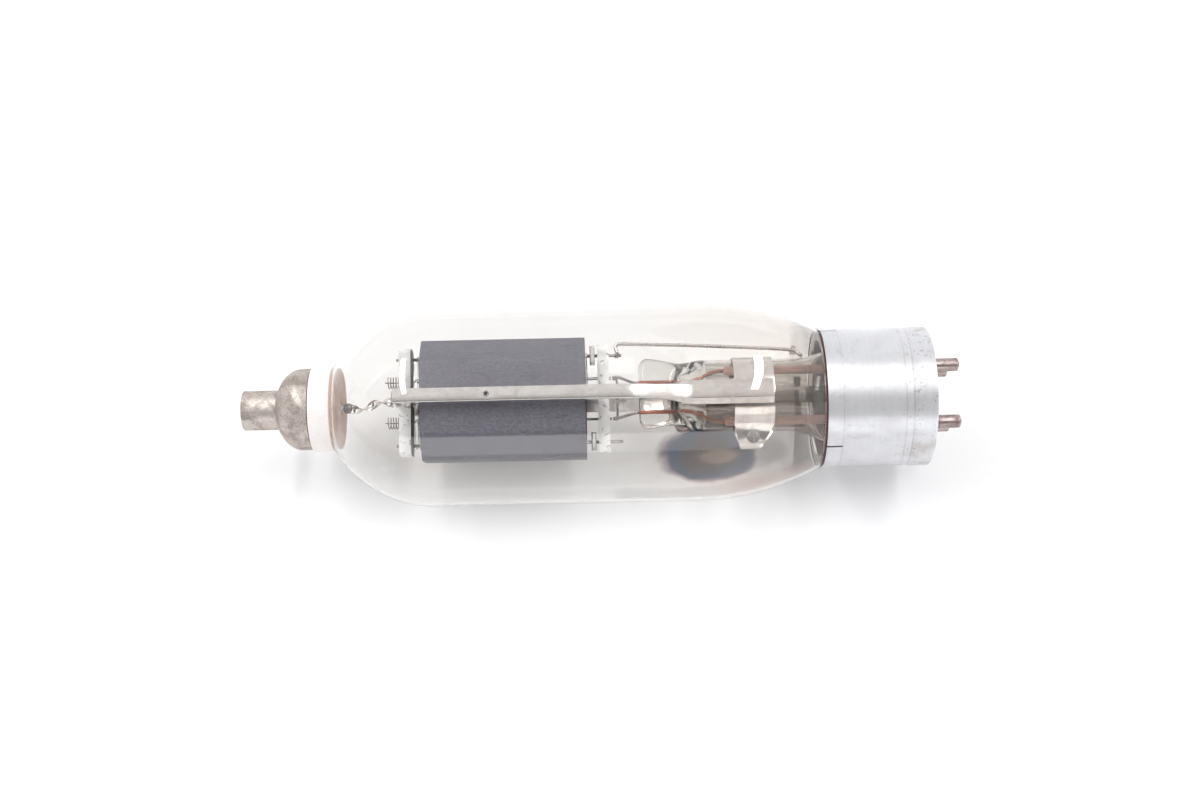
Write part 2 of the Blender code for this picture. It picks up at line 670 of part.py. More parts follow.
def yoke_rivet(frame):
    head = CAP_SPACER[1] + 1.1 * MM
    profile = [(0.0, head + 0.9 * MM), (1.2 * MM, head + 0.8 * MM), (2.0 * MM, head)]
    profile += [(0.9 * MM, head), (0.9 * MM, CAP_SPACER[0] - GAP), (1.6 * MM, CAP_SPACER[0] - GAP)]
    profile += [(1.4 * MM, CAP_SPACER[0] - 1.0 * MM), (0.0, CAP_SPACER[0] - 1.0 * MM)]
    turned("yoke_rivet", profile, frame, "bright_nickel", 12, closed=False)


def stem_band(frame):
    """Strip clamped round the stem; both its ends turn down into tapered ears."""
    rear = EAR_FRONT - 1.2 * MM
    path = [(EAR_FRONT, EAR_END, 1.0), (EAR_FRONT, -13.2 * MM, 0.1)]
    path += [(x, y, 0.0) for x, y in arc((0, 0), BAND_RADIUS, -56.0, 292.0, 24)]
    path += [(rear, -14.0 * MM, 0.1), (rear, EAR_END, 1.0)]
    rows = []
    for x, y, taper in path:
        low = BAND_BOTTOM + taper * 4.0 * MM
        high = BAND_TOP - taper * 1.4 * MM
        rows.append([(x, y, low), (x, y, high)])
    band = sheet("stem_band", rows, frame, "bright_nickel")
    start = (EAR_FRONT - 3 * MM, SCREW_SIDE, SCREW_STATION)
    end = (EAR_FRONT + 3 * MM, SCREW_SIDE, SCREW_STATION)
    cut(band, rod_between(start, end, 1.3 * MM))


def band_screw(frame):
    profile = [(0.0, 1.5 * MM), (1.8 * MM, 1.5 * MM), (2.2 * MM, 1.1 * MM), (2.2 * MM, 0.0)]
    profile += [(1.0 * MM, 0.0), (1.0 * MM, -4.6 * MM), (0.0, -4.6 * MM)]
    screw = turned("band_screw", profile, frame, "bright_nickel", 14, closed=False)
    screw.location = (EAR_FRONT + 0.55 * MM, SCREW_SIDE, SCREW_STATION)
    screw.rotation_euler.y = math.radians(90)
    slot = (EAR_FRONT + 2.15 * MM, SCREW_SIDE, SCREW_STATION)
    cut(screw, box_mesh((1.2 * MM, 6 * MM, 0.6 * MM), slot))


def band_nut(frame):
    outlines = [circle((0, 0), 2.0 * MM, 6), circle((0, 0), 1.3 * MM, 12)]
    nut = plate("band_nut", outlines, (0.0, 1.5 * MM), frame, "bright_nickel")
    nut.location = (EAR_FRONT - 2.55 * MM, SCREW_SIDE, SCREW_STATION)
    nut.rotation_euler.y = math.radians(90)


def spacer(name, stations, holes, frame):
    corners = [(SPACER_DEPTH, -SPACER_WIDTH), (SPACER_DEPTH, SPACER_WIDTH)]
    corners += [(-SPACER_DEPTH, SPACER_WIDTH), (-SPACER_DEPTH, -SPACER_WIDTH)]
    plate(name, [rounded(corners, 3.2 * MM, 4), *holes], stations, frame, "bare_ceramic")


def spacers(frame):
    rod_hole = GRID_ROD_RADIUS + GAP
    rods = [circle((0, side * GRID_ROD_SIDE), rod_hole) for side in (1, -1)]
    hooks = [circle((0, side * FILAMENT_SIDE), 0.7 * MM) for side in (1, -1)]
    spacer("cap_side_spacer", CAP_SPACER, [*rods, *hooks, circle((0, 0), 1.25 * MM)], frame)
    legs = []
    for side in (1, -1):
        for depth in (1, -1):
            legs.append(circle((depth * FILAMENT_SPREAD, side * FILAMENT_SIDE), 0.6 * MM))
    spacer("base_side_spacer", BASE_SPACER, [*rods, *legs], frame)


def anode(frame):
    corners = [(ANODE_DEPTH, -ANODE_FACE), (ANODE_DEPTH, ANODE_FACE), (ANODE_SIDE, ANODE_WIDTH)]
    corners += [(-ANODE_SIDE, ANODE_WIDTH), (-ANODE_DEPTH, ANODE_FACE)]
    corners += [(-ANODE_DEPTH, -ANODE_FACE), (-ANODE_SIDE, -ANODE_WIDTH), (ANODE_SIDE, -ANODE_WIDTH)]
    bore = []
    for step in range(32):
        angle = 2 * math.pi * step / 32
        bore.append((BORE_DEPTH * math.cos(angle), BORE_WIDTH * math.sin(angle)))
    plate("anode", [rounded(corners, 2.2 * MM), bore], (ANODE_BOTTOM, ANODE_TOP), frame, "graphite")


def grid(frame):
    low = ANODE_BOTTOM - 0.6 * MM
    high = CAP_SPACER[0] - 1.2 * MM
    turns = (high - low) / GRID_PITCH
    path = coil_path((0.0, 0.0, low), (GRID_DEPTH, GRID_WIDTH), GRID_PITCH, turns, 16)
    wire("grid_helix", path, 0.2 * MM, frame, "molybdenum", 0)
    for label, side in (("upper", GRID_ROD_SIDE), ("lower", -GRID_ROD_SIDE)):
        ends = [(0, side, 109.7 * MM), (0, side, CAP_SPACER[1] + 1.5 * MM)]
        wire("grid_rod_" + label, ends, GRID_ROD_RADIUS, frame, "molybdenum", 2)
        bottom = BASE_SPACER[1] + 0.9 * MM
        corners = [(1.6 * MM, side - 3.5 * MM), (1.6 * MM, side + 3.5 * MM)]
        corners += [(-1.6 * MM, side + 3.5 * MM), (-1.6 * MM, side - 3.5 * MM)]
        outlines = [rounded(corners, 0.4 * MM, 2), circle((0, side), GRID_ROD_RADIUS + GAP)]
        stations = (bottom, bottom + 1.8 * MM)
        plate("grid_collar_" + label, outlines, stations, frame, "bright_nickel")


def grid_lead(frame):
    """Rod from the grid's upper side rod, outside the press, to its seal in the stem's flare."""
    path = [(0, 17.2 * MM, 111.4 * MM), (0, 19.2 * MM, 111.9 * MM), (0, 19.9 * MM, 110.4 * MM)]
    path += [(0, 18.8 * MM, 84 * MM), (0, 16.6 * MM, 49.5 * MM), (0, 15.6 * MM, 46.6 * MM)]
    path.append((0, 14.0 * MM, 44.6 * MM))
    wire("grid_lead", path, 0.62 * MM, frame, "molybdenum", 2)


def filament(frame):
    """Two hairpin strands hung on sprung hooks, and the rods and bridge that feed them."""
    foot = BASE_SPACER[0] - 0.8 * MM
    for label, sign in (("upper", 1), ("lower", -1)):
        side = sign * FILAMENT_SIDE
        path = [(FILAMENT_SPREAD, side, foot)]
        for x, z in arc((0.0, FILAMENT_CROWN), FILAMENT_SPREAD, 0.0, 180.0, 8):
            path.append((x, side, z))
        path.append((-FILAMENT_SPREAD, side, foot))
        wire("filament_" + label, path, FILAMENT_RADIUS, frame, "tungsten")

        hook = [(1.9 * MM, side, HOOK_TOP), (0, side, HOOK_TOP), (0, side, 185.2 * MM)]
        hook += [(0, side + 0.95 * MM, 184.2 * MM), (0, side + 0.95 * MM, 183.2 * MM)]
        hook += [(0, side, 182.4 * MM), (0, side - 0.9 * MM, 182.9 * MM)]
        wire("filament_hook_" + label, hook, HOOK_RADIUS, frame, "molybdenum")

        start = (0.0, side, CAP_SPACER[1] + 0.45 * MM)
        coil = coil_path(start, (SPRING_RADIUS, SPRING_RADIUS), SPRING_PITCH, SPRING_TURNS, 10)
        wire("filament_spring_" + label, coil, 0.14 * MM, frame, "tungsten", 0)

        rod = [(0, sign * SEAL_SPREAD, PRESS_TOP + 0.3 * MM), (0, sign * 5.7 * MM, 106 * MM)]
        rod += [(FILAMENT_SPREAD, side, 111.2 * MM), (FILAMENT_SPREAD, side, foot - 0.4 * MM)]
        wire("filament_rod_" + label, rod, LEAD_RADIUS, frame, "molybdenum", 2)

    top = foot - 0.4 * MM
    low = top - 1.8 * MM
    corners = [(-FILAMENT_SIDE, top), (-FILAMENT_SIDE, low), (FILAMENT_SIDE, low), (FILAMENT_SIDE, top)]
    bridge = [(-FILAMENT_SPREAD, side, station) for side, station in corners]
    wire("filament_bridge", bridge, 0.4 * MM, frame, "molybdenum")


def getter(frame):
    """Shallow cup that fired the getter film onto the wall behind and below the stem."""
    direction = Vector((-0.75, -0.55, -0.35)).normalized()
    centre = Vector((-14.6 * MM, -8.5 * MM, 87.0 * MM))
    profile = [(0.0, 0.0), (3.2 * MM, 0.0), (3.2 * MM, 1.6 * MM), (3.6 * MM, 1.6 * MM)]
    profile += [(3.6 * MM, -0.4 * MM), (0.0, -0.4 * MM)]
    cup = turned("getter_cup", profile, frame, "getter_metal", 16, closed=False)
    cup.location = centre
    cup.rotation_euler = direction.to_track_quat("Z", "Y").to_euler()
    back = centre - direction * 1.3 * MM
    path = [(-14.4 * MM, -5.4 * MM, 76.0 * MM), (-13.2 * MM, -6.0 * MM, 80.0 * MM)]
    path += [(-11.9 * MM, -5.9 * MM, 83.5 * MM), back]
    wire("getter_wire", path, 0.35 * MM, frame, "bright_nickel")


clear_scene()
parts = add_collection("vacuum_tube")
cutters = add_collection("cutters")

rim_position = (PIN_TIP_STATION + CAP_TIP_STATION) / 2
tube_frame = add_frame(
    "tube_frame", None, (rim_position, 0.0, BULB_RADIUS), (0.0, math.radians(-90), 0.0)
)
base_frame = add_frame("base_frame", tube_frame, (0.0, 0.0, 0.0), (0.0, 0.0, FRONT_TURN))
cage_frame = add_frame("cage_frame", base_frame, (0.0, CAGE_RISE, 0.0), (0.0, 0.0, 0.0))

glass_bulb(tube_frame)
anode_lead(tube_frame)
cap_insulator(tube_frame)
cap_cement(tube_frame)
cap_shell(tube_frame)

base_cement(base_frame)
base_shell(base_frame)
bayonet_pin(base_frame)
base_wafer(base_frame)
base_pins(base_frame)
pin_wires(base_frame)

exhaust_tube(cage_frame)
glass_stem(cage_frame)
press_seals(cage_frame)
grid_bead(cage_frame)
stem_band(cage_frame)
band_screw(cage_frame)
band_nut(cage_frame)
getter(cage_frame)
support_bar("front_bar", 1, cage_frame)
support_bar("rear_bar", -1, cage_frame)
anode_stud("front_anode_stud", 1, cage_frame)
anode_stud("rear_anode_stud", -1, cage_frame)
spacers(cage_frame)
anode(cage_frame)
grid(cage_frame)
grid_lead(cage_frame)
filament(cage_frame)
top_yoke(cage_frame)
yoke_rivet(cage_frame)
anode_ribbon(cage_frame)
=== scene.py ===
import math
from functools import partialmethod

import bmesh
import bpy
from mathutils import Matrix, Vector, noise


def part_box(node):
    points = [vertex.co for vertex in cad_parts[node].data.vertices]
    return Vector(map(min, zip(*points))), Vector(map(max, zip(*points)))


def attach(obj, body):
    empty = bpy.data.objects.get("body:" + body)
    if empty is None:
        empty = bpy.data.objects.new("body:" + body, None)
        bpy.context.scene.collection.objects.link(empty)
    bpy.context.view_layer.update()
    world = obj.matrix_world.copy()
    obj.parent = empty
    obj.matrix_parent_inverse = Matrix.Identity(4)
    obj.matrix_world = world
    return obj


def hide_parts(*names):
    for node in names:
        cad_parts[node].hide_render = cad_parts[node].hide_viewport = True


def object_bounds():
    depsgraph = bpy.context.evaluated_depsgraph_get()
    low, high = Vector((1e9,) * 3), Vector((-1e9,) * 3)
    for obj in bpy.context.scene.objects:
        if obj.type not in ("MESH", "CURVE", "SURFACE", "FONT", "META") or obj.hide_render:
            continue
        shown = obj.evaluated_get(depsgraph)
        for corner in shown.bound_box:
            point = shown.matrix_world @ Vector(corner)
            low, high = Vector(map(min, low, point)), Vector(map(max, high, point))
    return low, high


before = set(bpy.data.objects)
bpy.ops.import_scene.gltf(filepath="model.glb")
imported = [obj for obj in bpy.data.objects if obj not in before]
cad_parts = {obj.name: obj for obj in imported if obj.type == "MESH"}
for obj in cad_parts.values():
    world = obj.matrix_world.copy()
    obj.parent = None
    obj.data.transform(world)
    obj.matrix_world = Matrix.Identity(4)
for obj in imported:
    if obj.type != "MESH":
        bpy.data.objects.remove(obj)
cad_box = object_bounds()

# Looks of a transmitting triode that lies on its side on a white floor.
#
# Everything is modelled in millimetres as (front, side, station).  Station runs along the tube
# from the rim of its base to the top cap, front is the way the cage's front bar faces, and side
# is across the width of the anode.  TUBE is centred on the tube's axis and CAGE on the cage's.

MM = 0.001
ROOT = "root"

# How far a texture is stretched along x, y and z: not at all, drawn wire, rolled sheet
EVEN = (1.0, 1.0, 1.0)
DRAWN = (0.1, 1.0, 1.0)
ROLLED = (0.04, 1.0, 1.0)

# Glass
SHOULDER_ARC = 100.0
SHOULDER_TOP = 84.0
DOME_ARC = 42.0
DOME_BASE = 177.4
BULB_WALL = 1.2
NECK_RADIUS = 10.6
NECK_STATION = 213.3
NECK_TOP = 223.0
LEAD_HOLE = 1.15
BULB_WAVE = 0.05
BULB_SIDES = 160
STEM_SIDES = 96
STEM_RADIUS = 13.1
PRESS_LIFT = 1.3
BEAD_LEAN = math.radians(-19)
SKIN = 0.04

# Base
SHELL_WALL = 0.6
SHELL_RING = 8.1
CREASE = 32.9
SLIT_LENGTH = 5.5
SLIT_WIDTH = 0.7
SLIT_ANGLES = (68.0, -50.0, -170.0)
PIN_RADIUS = 2.38

# Cage: how far from the axis each filament lead is in the press, and lower down in the stem
SEAL_SIDE = 5.4
LEAD_SPREAD = 9.2
BAR_AT_STEM = 16.45
GRID_PITCH = 1.2
SPRING_TURNS = 4.3
EAR_FRONT = 7.2
SCREW_RADIUS = 2.2
SLOT_HALF = 0.28
SHEET = 0.45

# Film of fired getter: how far round the bulb from +Y its centre is, its size on the wall, and how
# far the skin that carries it reaches along and round the bulb
FILM_ANGLE = math.radians(-96)
FILM_STATION = 76.6
FILM_LENGTH = 19.5
FILM_WIDTH = 14.4
FILM_REACH = 1.85 * FILM_LENGTH
FILM_SPREAD = math.radians(60)
FILM_GLOSS = 0.15

# Top cap: stations of the post's foot and of the skirt's upper edge
POST_RADIUS = 7.2
POST_FOOT = 234.0
CAP_SKIRT = 225.3
CAP_HOLE = 1.2
CAP_WALL = 0.6

# Camera
CAMERA_DISTANCE = 0.6035
CAMERA_ELEVATION = math.radians(57)
CAMERA_ROLL = math.radians(-1.27)
CAMERA_LENS = 50.0
AIM_RISE = 0.0029
AIM_X = 0.0004


# ---- Places from the frame --------------------


def middle(node):
    low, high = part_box(node)
    return (low + high) / 2


def upright(vector):
    """The part of a vector that is square to the tube's axis, at length 1."""
    return Vector((0.0, vector.y, vector.z)).normalized()


STATION = Vector((-1.0, 0.0, 0.0))
FRONT = upright(middle("front_bar") - middle("rear_bar"))
SIDE = STATION.cross(FRONT)
RIM_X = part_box("base_shell")[1].x
SHELL_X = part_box("base_shell")[0].x
AXIS_Z = middle("glass_bulb").z


def space(node):
    """Takes millimetres along front, side and station, from a node's axis, to the row frame."""
    turn = Matrix((FRONT, SIDE, STATION)).transposed().to_4x4()
    place = middle(node)
    return Matrix.Translation((RIM_X, place.y, place.z)) @ turn @ Matrix.Scale(MM, 4)


TUBE = space("glass_bulb")
CAGE = space("anode")
CAGE_RISE = (CAGE.translation - TUBE.translation).length / MM


def extent(node, basis=CAGE):
    """Lowest and highest (front, side, station) of a CAD node."""
    inverse = basis.inverted()
    places = [inverse @ vertex.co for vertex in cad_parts[node].data.vertices]
    low = Vector([min(place[i] for place in places) for i in range(3)])
    high = Vector([max(place[i] for place in places) for i in range(3)])
    return low, high


def centre_of(node, basis=CAGE):
    low, high = extent(node, basis)
    return (low + high) / 2


# ---- Finishes --------------------


class Value:
    """A number worked out by a material's nodes; arithmetic with it adds more nodes."""

    def __init__(self, tree, socket):
        self.tree = tree
        self.socket = socket

    def maths(self, operation, other=0.0):
        node = self.tree.nodes.new("ShaderNodeMath")
        node.operation = operation
        feed(self.tree, node.inputs[0], self)
        feed(self.tree, node.inputs[1], other)
        return Value(self.tree, node.outputs[0])

    __add__ = partialmethod(maths, "ADD")
    __sub__ = partialmethod(maths, "SUBTRACT")
    __mul__ = partialmethod(maths, "MULTIPLY")
    __truediv__ = partialmethod(maths, "DIVIDE")
    __pow__ = partialmethod(maths, "POWER")
    __abs__ = partialmethod(maths, "ABSOLUTE")

    def fit(self, start, end, low=0.0, high=1.0):
        """Smooth step from low at start to high at end."""
        node = self.tree.nodes.new("ShaderNodeMapRange")
        node.interpolation_type = "SMOOTHSTEP"
        feed(self.tree, node.inputs["Value"], self)
        node.inputs["From Min"].default_value = start
        node.inputs["From Max"].default_value = end
        node.inputs["To Min"].default_value = low
        node.inputs["To Max"].default_value = high
        return Value(self.tree, node.outputs["Result"])


def feed(tree, socket, value):
    """Gives a socket a constant, or the output of another node."""
    if isinstance(value, Value):
        tree.links.new(value.socket, socket)
    else:
        socket.default_value = value


def axes_of(tree, place):
    split = tree.nodes.new("ShaderNodeSeparateXYZ")
    tree.links.new(place, split.inputs["Vector"])
    return [Value(tree, output) for output in split.outputs]


class Finish:
    """A node material in the making: one Principled shader and the textures that feed it."""

    def __init__(self, name, roughness=0.5, metallic=0.0):
        self.material = bpy.data.materials.new(name)
        self.material.use_nodes = True
        self.tree = self.material.node_tree
        self.nodes = self.tree.nodes
        self.shader = self.nodes["Principled BSDF"]
        self.place = self.nodes.new("ShaderNodeTexCoord").outputs["Object"]
        self.set("Roughness", roughness)
        self.set("Metallic", metallic)

    def set(self, name, value):
        feed(self.tree, self.shader.inputs[name], value)

    def noise(self, scale, detail=4.0, stretch=EVEN, distortion=0.0):
        mapping = self.nodes.new("ShaderNodeMapping")
        mapping.inputs["Scale"].default_value = stretch
        self.tree.links.new(self.place, mapping.inputs["Vector"])
        texture = self.nodes.new("ShaderNodeTexNoise")
        self.tree.links.new(mapping.outputs["Vector"], texture.inputs["Vector"])
        texture.inputs["Scale"].default_value = scale
        texture.inputs["Detail"].default_value = detail
        texture.inputs["Distortion"].default_value = distortion
        return Value(self.tree, texture.outputs["Fac"])

    def blend(self, factor, first, second):
        node = self.nodes.new("ShaderNodeMix")
        node.data_type = "RGBA"
        feed(self.tree, node.inputs["Factor"], factor)
        colours = [socket for socket in node.inputs if socket.type == "RGBA"]
        for socket, colour in zip(colours, (first, second)):
            feed(self.tree, socket, (*colour, 1.0) if isinstance(colour, tuple) else colour)
        return Value(self.tree, [socket for socket in node.outputs if socket.type == "RGBA"][0])

    def bump(self, height, depth):
        """Relief of a height from 0 to 1, depth in millimetres."""
        node = self.nodes.new("ShaderNodeBump")
        node.inputs["Distance"].default_value = depth * MM
        feed(self.tree, node.inputs["Height"], height)
        self.set("Normal", Value(self.tree, node.outputs["Normal"]))

    def axes(self):
        return axes_of(self.tree, self.place)


def glass_finish(name, tint, shade):
    """Clear glass.  Light on its way from a lamp passes straight through, dimmed a little."""
    finish = Finish(name, roughness=0.0)
    finish.set("Transmission Weight", 1.0)
    finish.set("IOR", 1.5)
    smear = finish.noise(45.0, 3.0, (0.4, 1.0, 1.0), 0.6)
    colour = finish.blend(smear, tint, tuple(c * 0.99 for c in tint))
    base_end = finish.axes()[0].fit(0.0, SHELL_X)
    smoked = tuple(c * share for c, share in zip(tint, (0.965, 0.945, 0.925)))
    finish.set("Base Color", finish.blend(base_end, colour, smoked))
    clear = finish.nodes.new("ShaderNodeBsdfTransparent")
    clear.inputs["Color"].default_value = (*shade, 1.0)
    path = finish.nodes.new("ShaderNodeLightPath")
    mix = finish.nodes.new("ShaderNodeMixShader")
    link = finish.tree.links.new
    shadow_ray = Value(finish.tree, path.outputs["Is Shadow Ray"])
    diffuse_ray = Value(finish.tree, path.outputs["Is Diffuse Ray"])
    feed(finish.tree, mix.inputs[0], shadow_ray.maths("MAXIMUM", diffuse_ray))
    link(finish.shader.outputs[0], mix.inputs[1])
    link(clear.outputs[0], mix.inputs[2])
    link(mix.outputs[0], finish.nodes["Material Output"].inputs["Surface"])
    return finish.material


def aluminium_finish():
    """Spun aluminium: fine turning rings, soft dents, scuffs and a little brown dirt; painted shade darkens
    the crease and the ring groove.
    """
    finish = Finish("bright_aluminium", metallic=0.74)
    rings = finish.noise(900.0, 2.0, (1.0, 0.02, 0.02))
    cloud = finish.noise(110.0, 5.0, (0.7, 1.0, 1.0), 0.8)
    scuffs = finish.noise(420.0, 6.0, (0.6, 1.0, 1.0), 1.5).fit(0.56, 0.72)
    x = finish.axes()[0]
    dirt = cloud.fit(0.48, 0.72) * x.fit(RIM_X - 0.016, RIM_X - 0.004)
    colour = finish.blend(rings, (0.80, 0.80, 0.82), (0.88, 0.88, 0.90))
    colour = finish.blend(scuffs * 0.35, colour, (0.66, 0.66, 0.68))
    colour = finish.blend(dirt * 0.5, colour, (0.62, 0.54, 0.50))
    marks = finish.noise(800.0, 3.0, distortion=0.5).fit(0.62, 0.68)
    marks = marks * x.fit(RIM_X - 0.017, RIM_X - 0.006, 0.05, 0.6)
    colour = finish.blend(marks, colour, (0.34, 0.30, 0.31))
    # Painted shade: darker lines along the crease and at the ring groove, broken up by the cloud.
    for station, strength in ((CREASE, 0.22), (SHELL_RING + 0.3, 0.40), (SHELL_RING + 3.0, 0.25)):
        crease_shade = abs(x - (RIM_X - station * MM)).fit(0.00045, 0.0001, 0.0, strength)
        colour = finish.blend(crease_shade * cloud.fit(0.3, 0.6, 0.5, 1.0), colour, (0.42, 0.41, 0.43))
    finish.set("Base Color", colour)
    finish.set("Roughness", cloud.fit(0.3, 0.7, 0.46, 0.56) + scuffs * 0.10)
    finish.bump(rings * 0.06 + cloud, 0.05)
    tangent = finish.nodes.new("ShaderNodeTangent")
    tangent.direction_type = "RADIAL"
    tangent.axis = "X"
    finish.set("Tangent", Value(finish.tree, tangent.outputs[0]))
    finish.set("Anisotropic", 1.0)
    finish.set("Anisotropic Rotation", 0.25)
    return finish.material


def ceramic_finish(name, light, dark, stain, spots):
    """Unglazed ceramic with cloudy colour and small stains."""
    finish = Finish(name, roughness=0.55)
    cloud = finish.noise(150.0, 5.0, distortion=0.5)
    colour = finish.blend(cloud.fit(0.35, 0.7), light, dark)
    marks = finish.noise(460.0, distortion=1.0).fit(0.57, 0.66, 0.0, spots)
    finish.set("Base Color", finish.blend(marks, colour, stain))
    finish.set("Roughness", cloud.fit(0.3, 0.7, 0.42, 0.68))
    finish.bump(finish.noise(2600.0, 3.0), 0.03)
    return finish.material


def cement_finish(name, dark, light):
    """Matte, grainy cement or cloth."""
    finish = Finish(name, roughness=0.7)
    grain = finish.noise(900.0, 5.0)
    finish.set("Base Color", finish.blend(grain, dark, light))
    finish.set("Roughness", grain.fit(0.3, 0.7, 0.5, 0.85))
    finish.bump(grain, 0.12)
    return finish.material


def metal_finish(name, bright, dull, tarnish, roughness, amount=0.5, grain=EVEN, depth=0.03, speck=620.0):
    """Metal with worn bright places, dull places and specks of tarnish."""
    finish = Finish(name, metallic=1.0)
    cloud = finish.noise(170.0, 6.0, distortion=0.7)
    fine = finish.noise(1100.0, 3.0, grain)
    colour = finish.blend(cloud.fit(0.38, 0.66), bright, dull)
    specks = finish.noise(speck, 6.0, distortion=1.2).fit(0.50, 0.68, 0.0, amount)
    finish.set("Base Color", finish.blend(specks, colour, tarnish))
    finish.set("Roughness", cloud.fit(0.35, 0.7, roughness * 0.75, roughness * 1.35) + specks * 0.25)
    finish.bump(fine + cloud * 1.5, depth)
    return finish.material


def graphite_finish():
    """Machined graphite: very fine grain, faint bloom and a few grey smudges."""
    finish = Finish("graphite", roughness=0.6)
    grain = finish.noise(1500.0, 6.0, (0.6, 1.0, 1.0))
    turning = finish.noise(1500.0, 2.0, (1.0, 0.05, 0.05))
    cloud = finish.noise(95.0, 5.0, (0.5, 1.0, 1.0), 0.9)
    colour = finish.blend(grain.fit(0.40, 0.60), (0.100, 0.098, 0.124), (0.142, 0.138, 0.166))
    colour = finish.blend(cloud.fit(0.45, 0.75, 0.0, 0.45), colour, (0.145, 0.142, 0.155))
    smudge = finish.noise(210.0, 3.0, (0.3, 1.0, 1.0), 1.5).fit(0.60, 0.72, 0.0, 0.45)
    finish.set("Base Color", finish.blend(smudge, colour, (0.052, 0.050, 0.066)))
    finish.set("Roughness", cloud.fit(0.3, 0.7, 0.48, 0.66))
    finish.bump(grain + turning * 0.6, 0.015)
    return finish.material


def film(finish, alpha, colour):
    """Completes a finish as a film that shows only where alpha is above 0."""
    finish.set("Alpha", alpha)
    finish.set("Base Color", colour)
    finish.set("Specular IOR Level", FILM_GLOSS)
    return finish.material


def getter_finish():
    """Fired getter on the inside of the bulb: a dark oval with a brown heart, a smear towards the
    base and a faint brown haze below.  Distances along and across are in units of the oval's size."""
    finish = Finish("getter_film")
    x, y, z = finish.axes()
    y = y - middle("glass_bulb").y
    z = z - middle("glass_bulb").z
    wander = finish.noise(55.0, 3.0, distortion=0.5)
    along = (x - (RIM_X - FILM_STATION * MM)) / (FILM_LENGTH * MM)
    across = (y * -math.sin(FILM_ANGLE) + z * math.cos(FILM_ANGLE)) / (FILM_WIDTH * MM)
    far = (along ** 2.0 + across ** 2.0).maths("SQRT") + (wander - 0.5) * 0.55
    lower_half = (y * math.cos(FILM_ANGLE) + z * math.sin(FILM_ANGLE)).fit(0.004, 0.014)
    oval = far.fit(1.12, 0.86) * lower_half
    heart = (((along - 0.16) * 2.3) ** 2.0 + (across * 3.4) ** 2.0).fit(1.1, 0.3) * lower_half
    alpha = oval * (heart.fit(0.0, 1.0, 1.0, 0.84) * along.fit(-0.9, 0.7, 0.76, 0.56))
    streaks = finish.noise(160.0, 3.0, (0.5, 1.0, 1.0), 0.8)
    dark = finish.blend(streaks.fit(0.35, 0.65), (0.020, 0.022, 0.040), (0.060, 0.030, 0.026))
    dark = finish.blend(far.fit(0.50, 0.80), dark, (0.022, 0.045, 0.100))
    shade = finish.blend(heart, dark, (0.22, 0.13, 0.075))
    colour = finish.blend(far.fit(1.02, 0.88), (0.20, 0.10, 0.14), shade)
    smear = along.fit(0.6, 1.0) * along.fit(1.8, 1.2) * abs(across).fit(1.0, 0.3, 0.0, 0.22)
    smear = smear * wander.fit(0.3, 0.6, 0.4, 1.0)
    colour = finish.blend(far.fit(0.98, 1.15), colour, (0.13, 0.15, 0.19))
    haze = across.fit(-0.5, -1.2) * along.fit(-0.3, 0.8, 0.0, 0.26) * wander.fit(0.25, 0.6, 0.5, 1.0)
    colour = finish.blend(across.fit(-0.75, -1.05), colour, (0.48, 0.27, 0.23))
    return film(finish, alpha.maths("MAXIMUM", smear.maths("MAXIMUM", haze)), colour)


def collar_finish():
    """Dark ring just above the base, heaviest on the upper side."""
    finish = Finish("dark_collar")
    x, y = finish.axes()[:2]
    wander = finish.noise(120.0, stretch=(0.5, 1.0, 1.0), distortion=1.0)
    ring = (x + wander * 0.004).fit(SHELL_X - 0.0075, SHELL_X - 0.0045)
    patches = finish.noise(150.0, distortion=1.0).fit(0.38, 0.62)
    colour = finish.blend(patches, (0.020, 0.027, 0.050), (0.090, 0.048, 0.042))
    return film(finish, ring * y.fit(-0.022, 0.018, 0.03, 0.115), colour)


def haze_finish():
    """Cloudy brown haze."""
    finish = Finish("neck_haze")
    cloud = finish.noise(160.0, stretch=(1.0, 1.0, 0.4), distortion=0.8)
    colour = finish.blend(cloud.fit(0.35, 0.65), (0.62, 0.42, 0.32), (0.40, 0.25, 0.19))
    return film(finish, cloud.fit(0.3, 0.7, 0.42, 0.66), colour)


def stem_reflection_finish():
    """Brown streaks along the inside of the stem, as a painted reflection of the copper leads."""
    finish = Finish("stem_painted_reflection", roughness=0.45)
    streaks = finish.noise(330.0, stretch=(0.12, 1.0, 1.0), distortion=0.7)
    patches = finish.noise(140.0, 3.0, (0.6, 1.0, 1.0), 0.8)
    alpha = streaks.fit(0.36, 0.64) * finish.axes()[0].fit(0.030, 0.052, 0.28, 0.18)
    return film(finish, alpha, finish.blend(patches.fit(0.4, 0.6), (0.17, 0.09, 0.05), (0.07, 0.035, 0.025)))


def floor_finish():
    """Matte white with hardly any cloud."""
    finish = Finish("white_floor", roughness=0.75)
    cloud = finish.noise(2.2, 3.0)
    finish.set("Base Color", finish.blend(cloud, (0.90, 0.90, 0.905), (0.92, 0.92, 0.925)))
    return finish.material


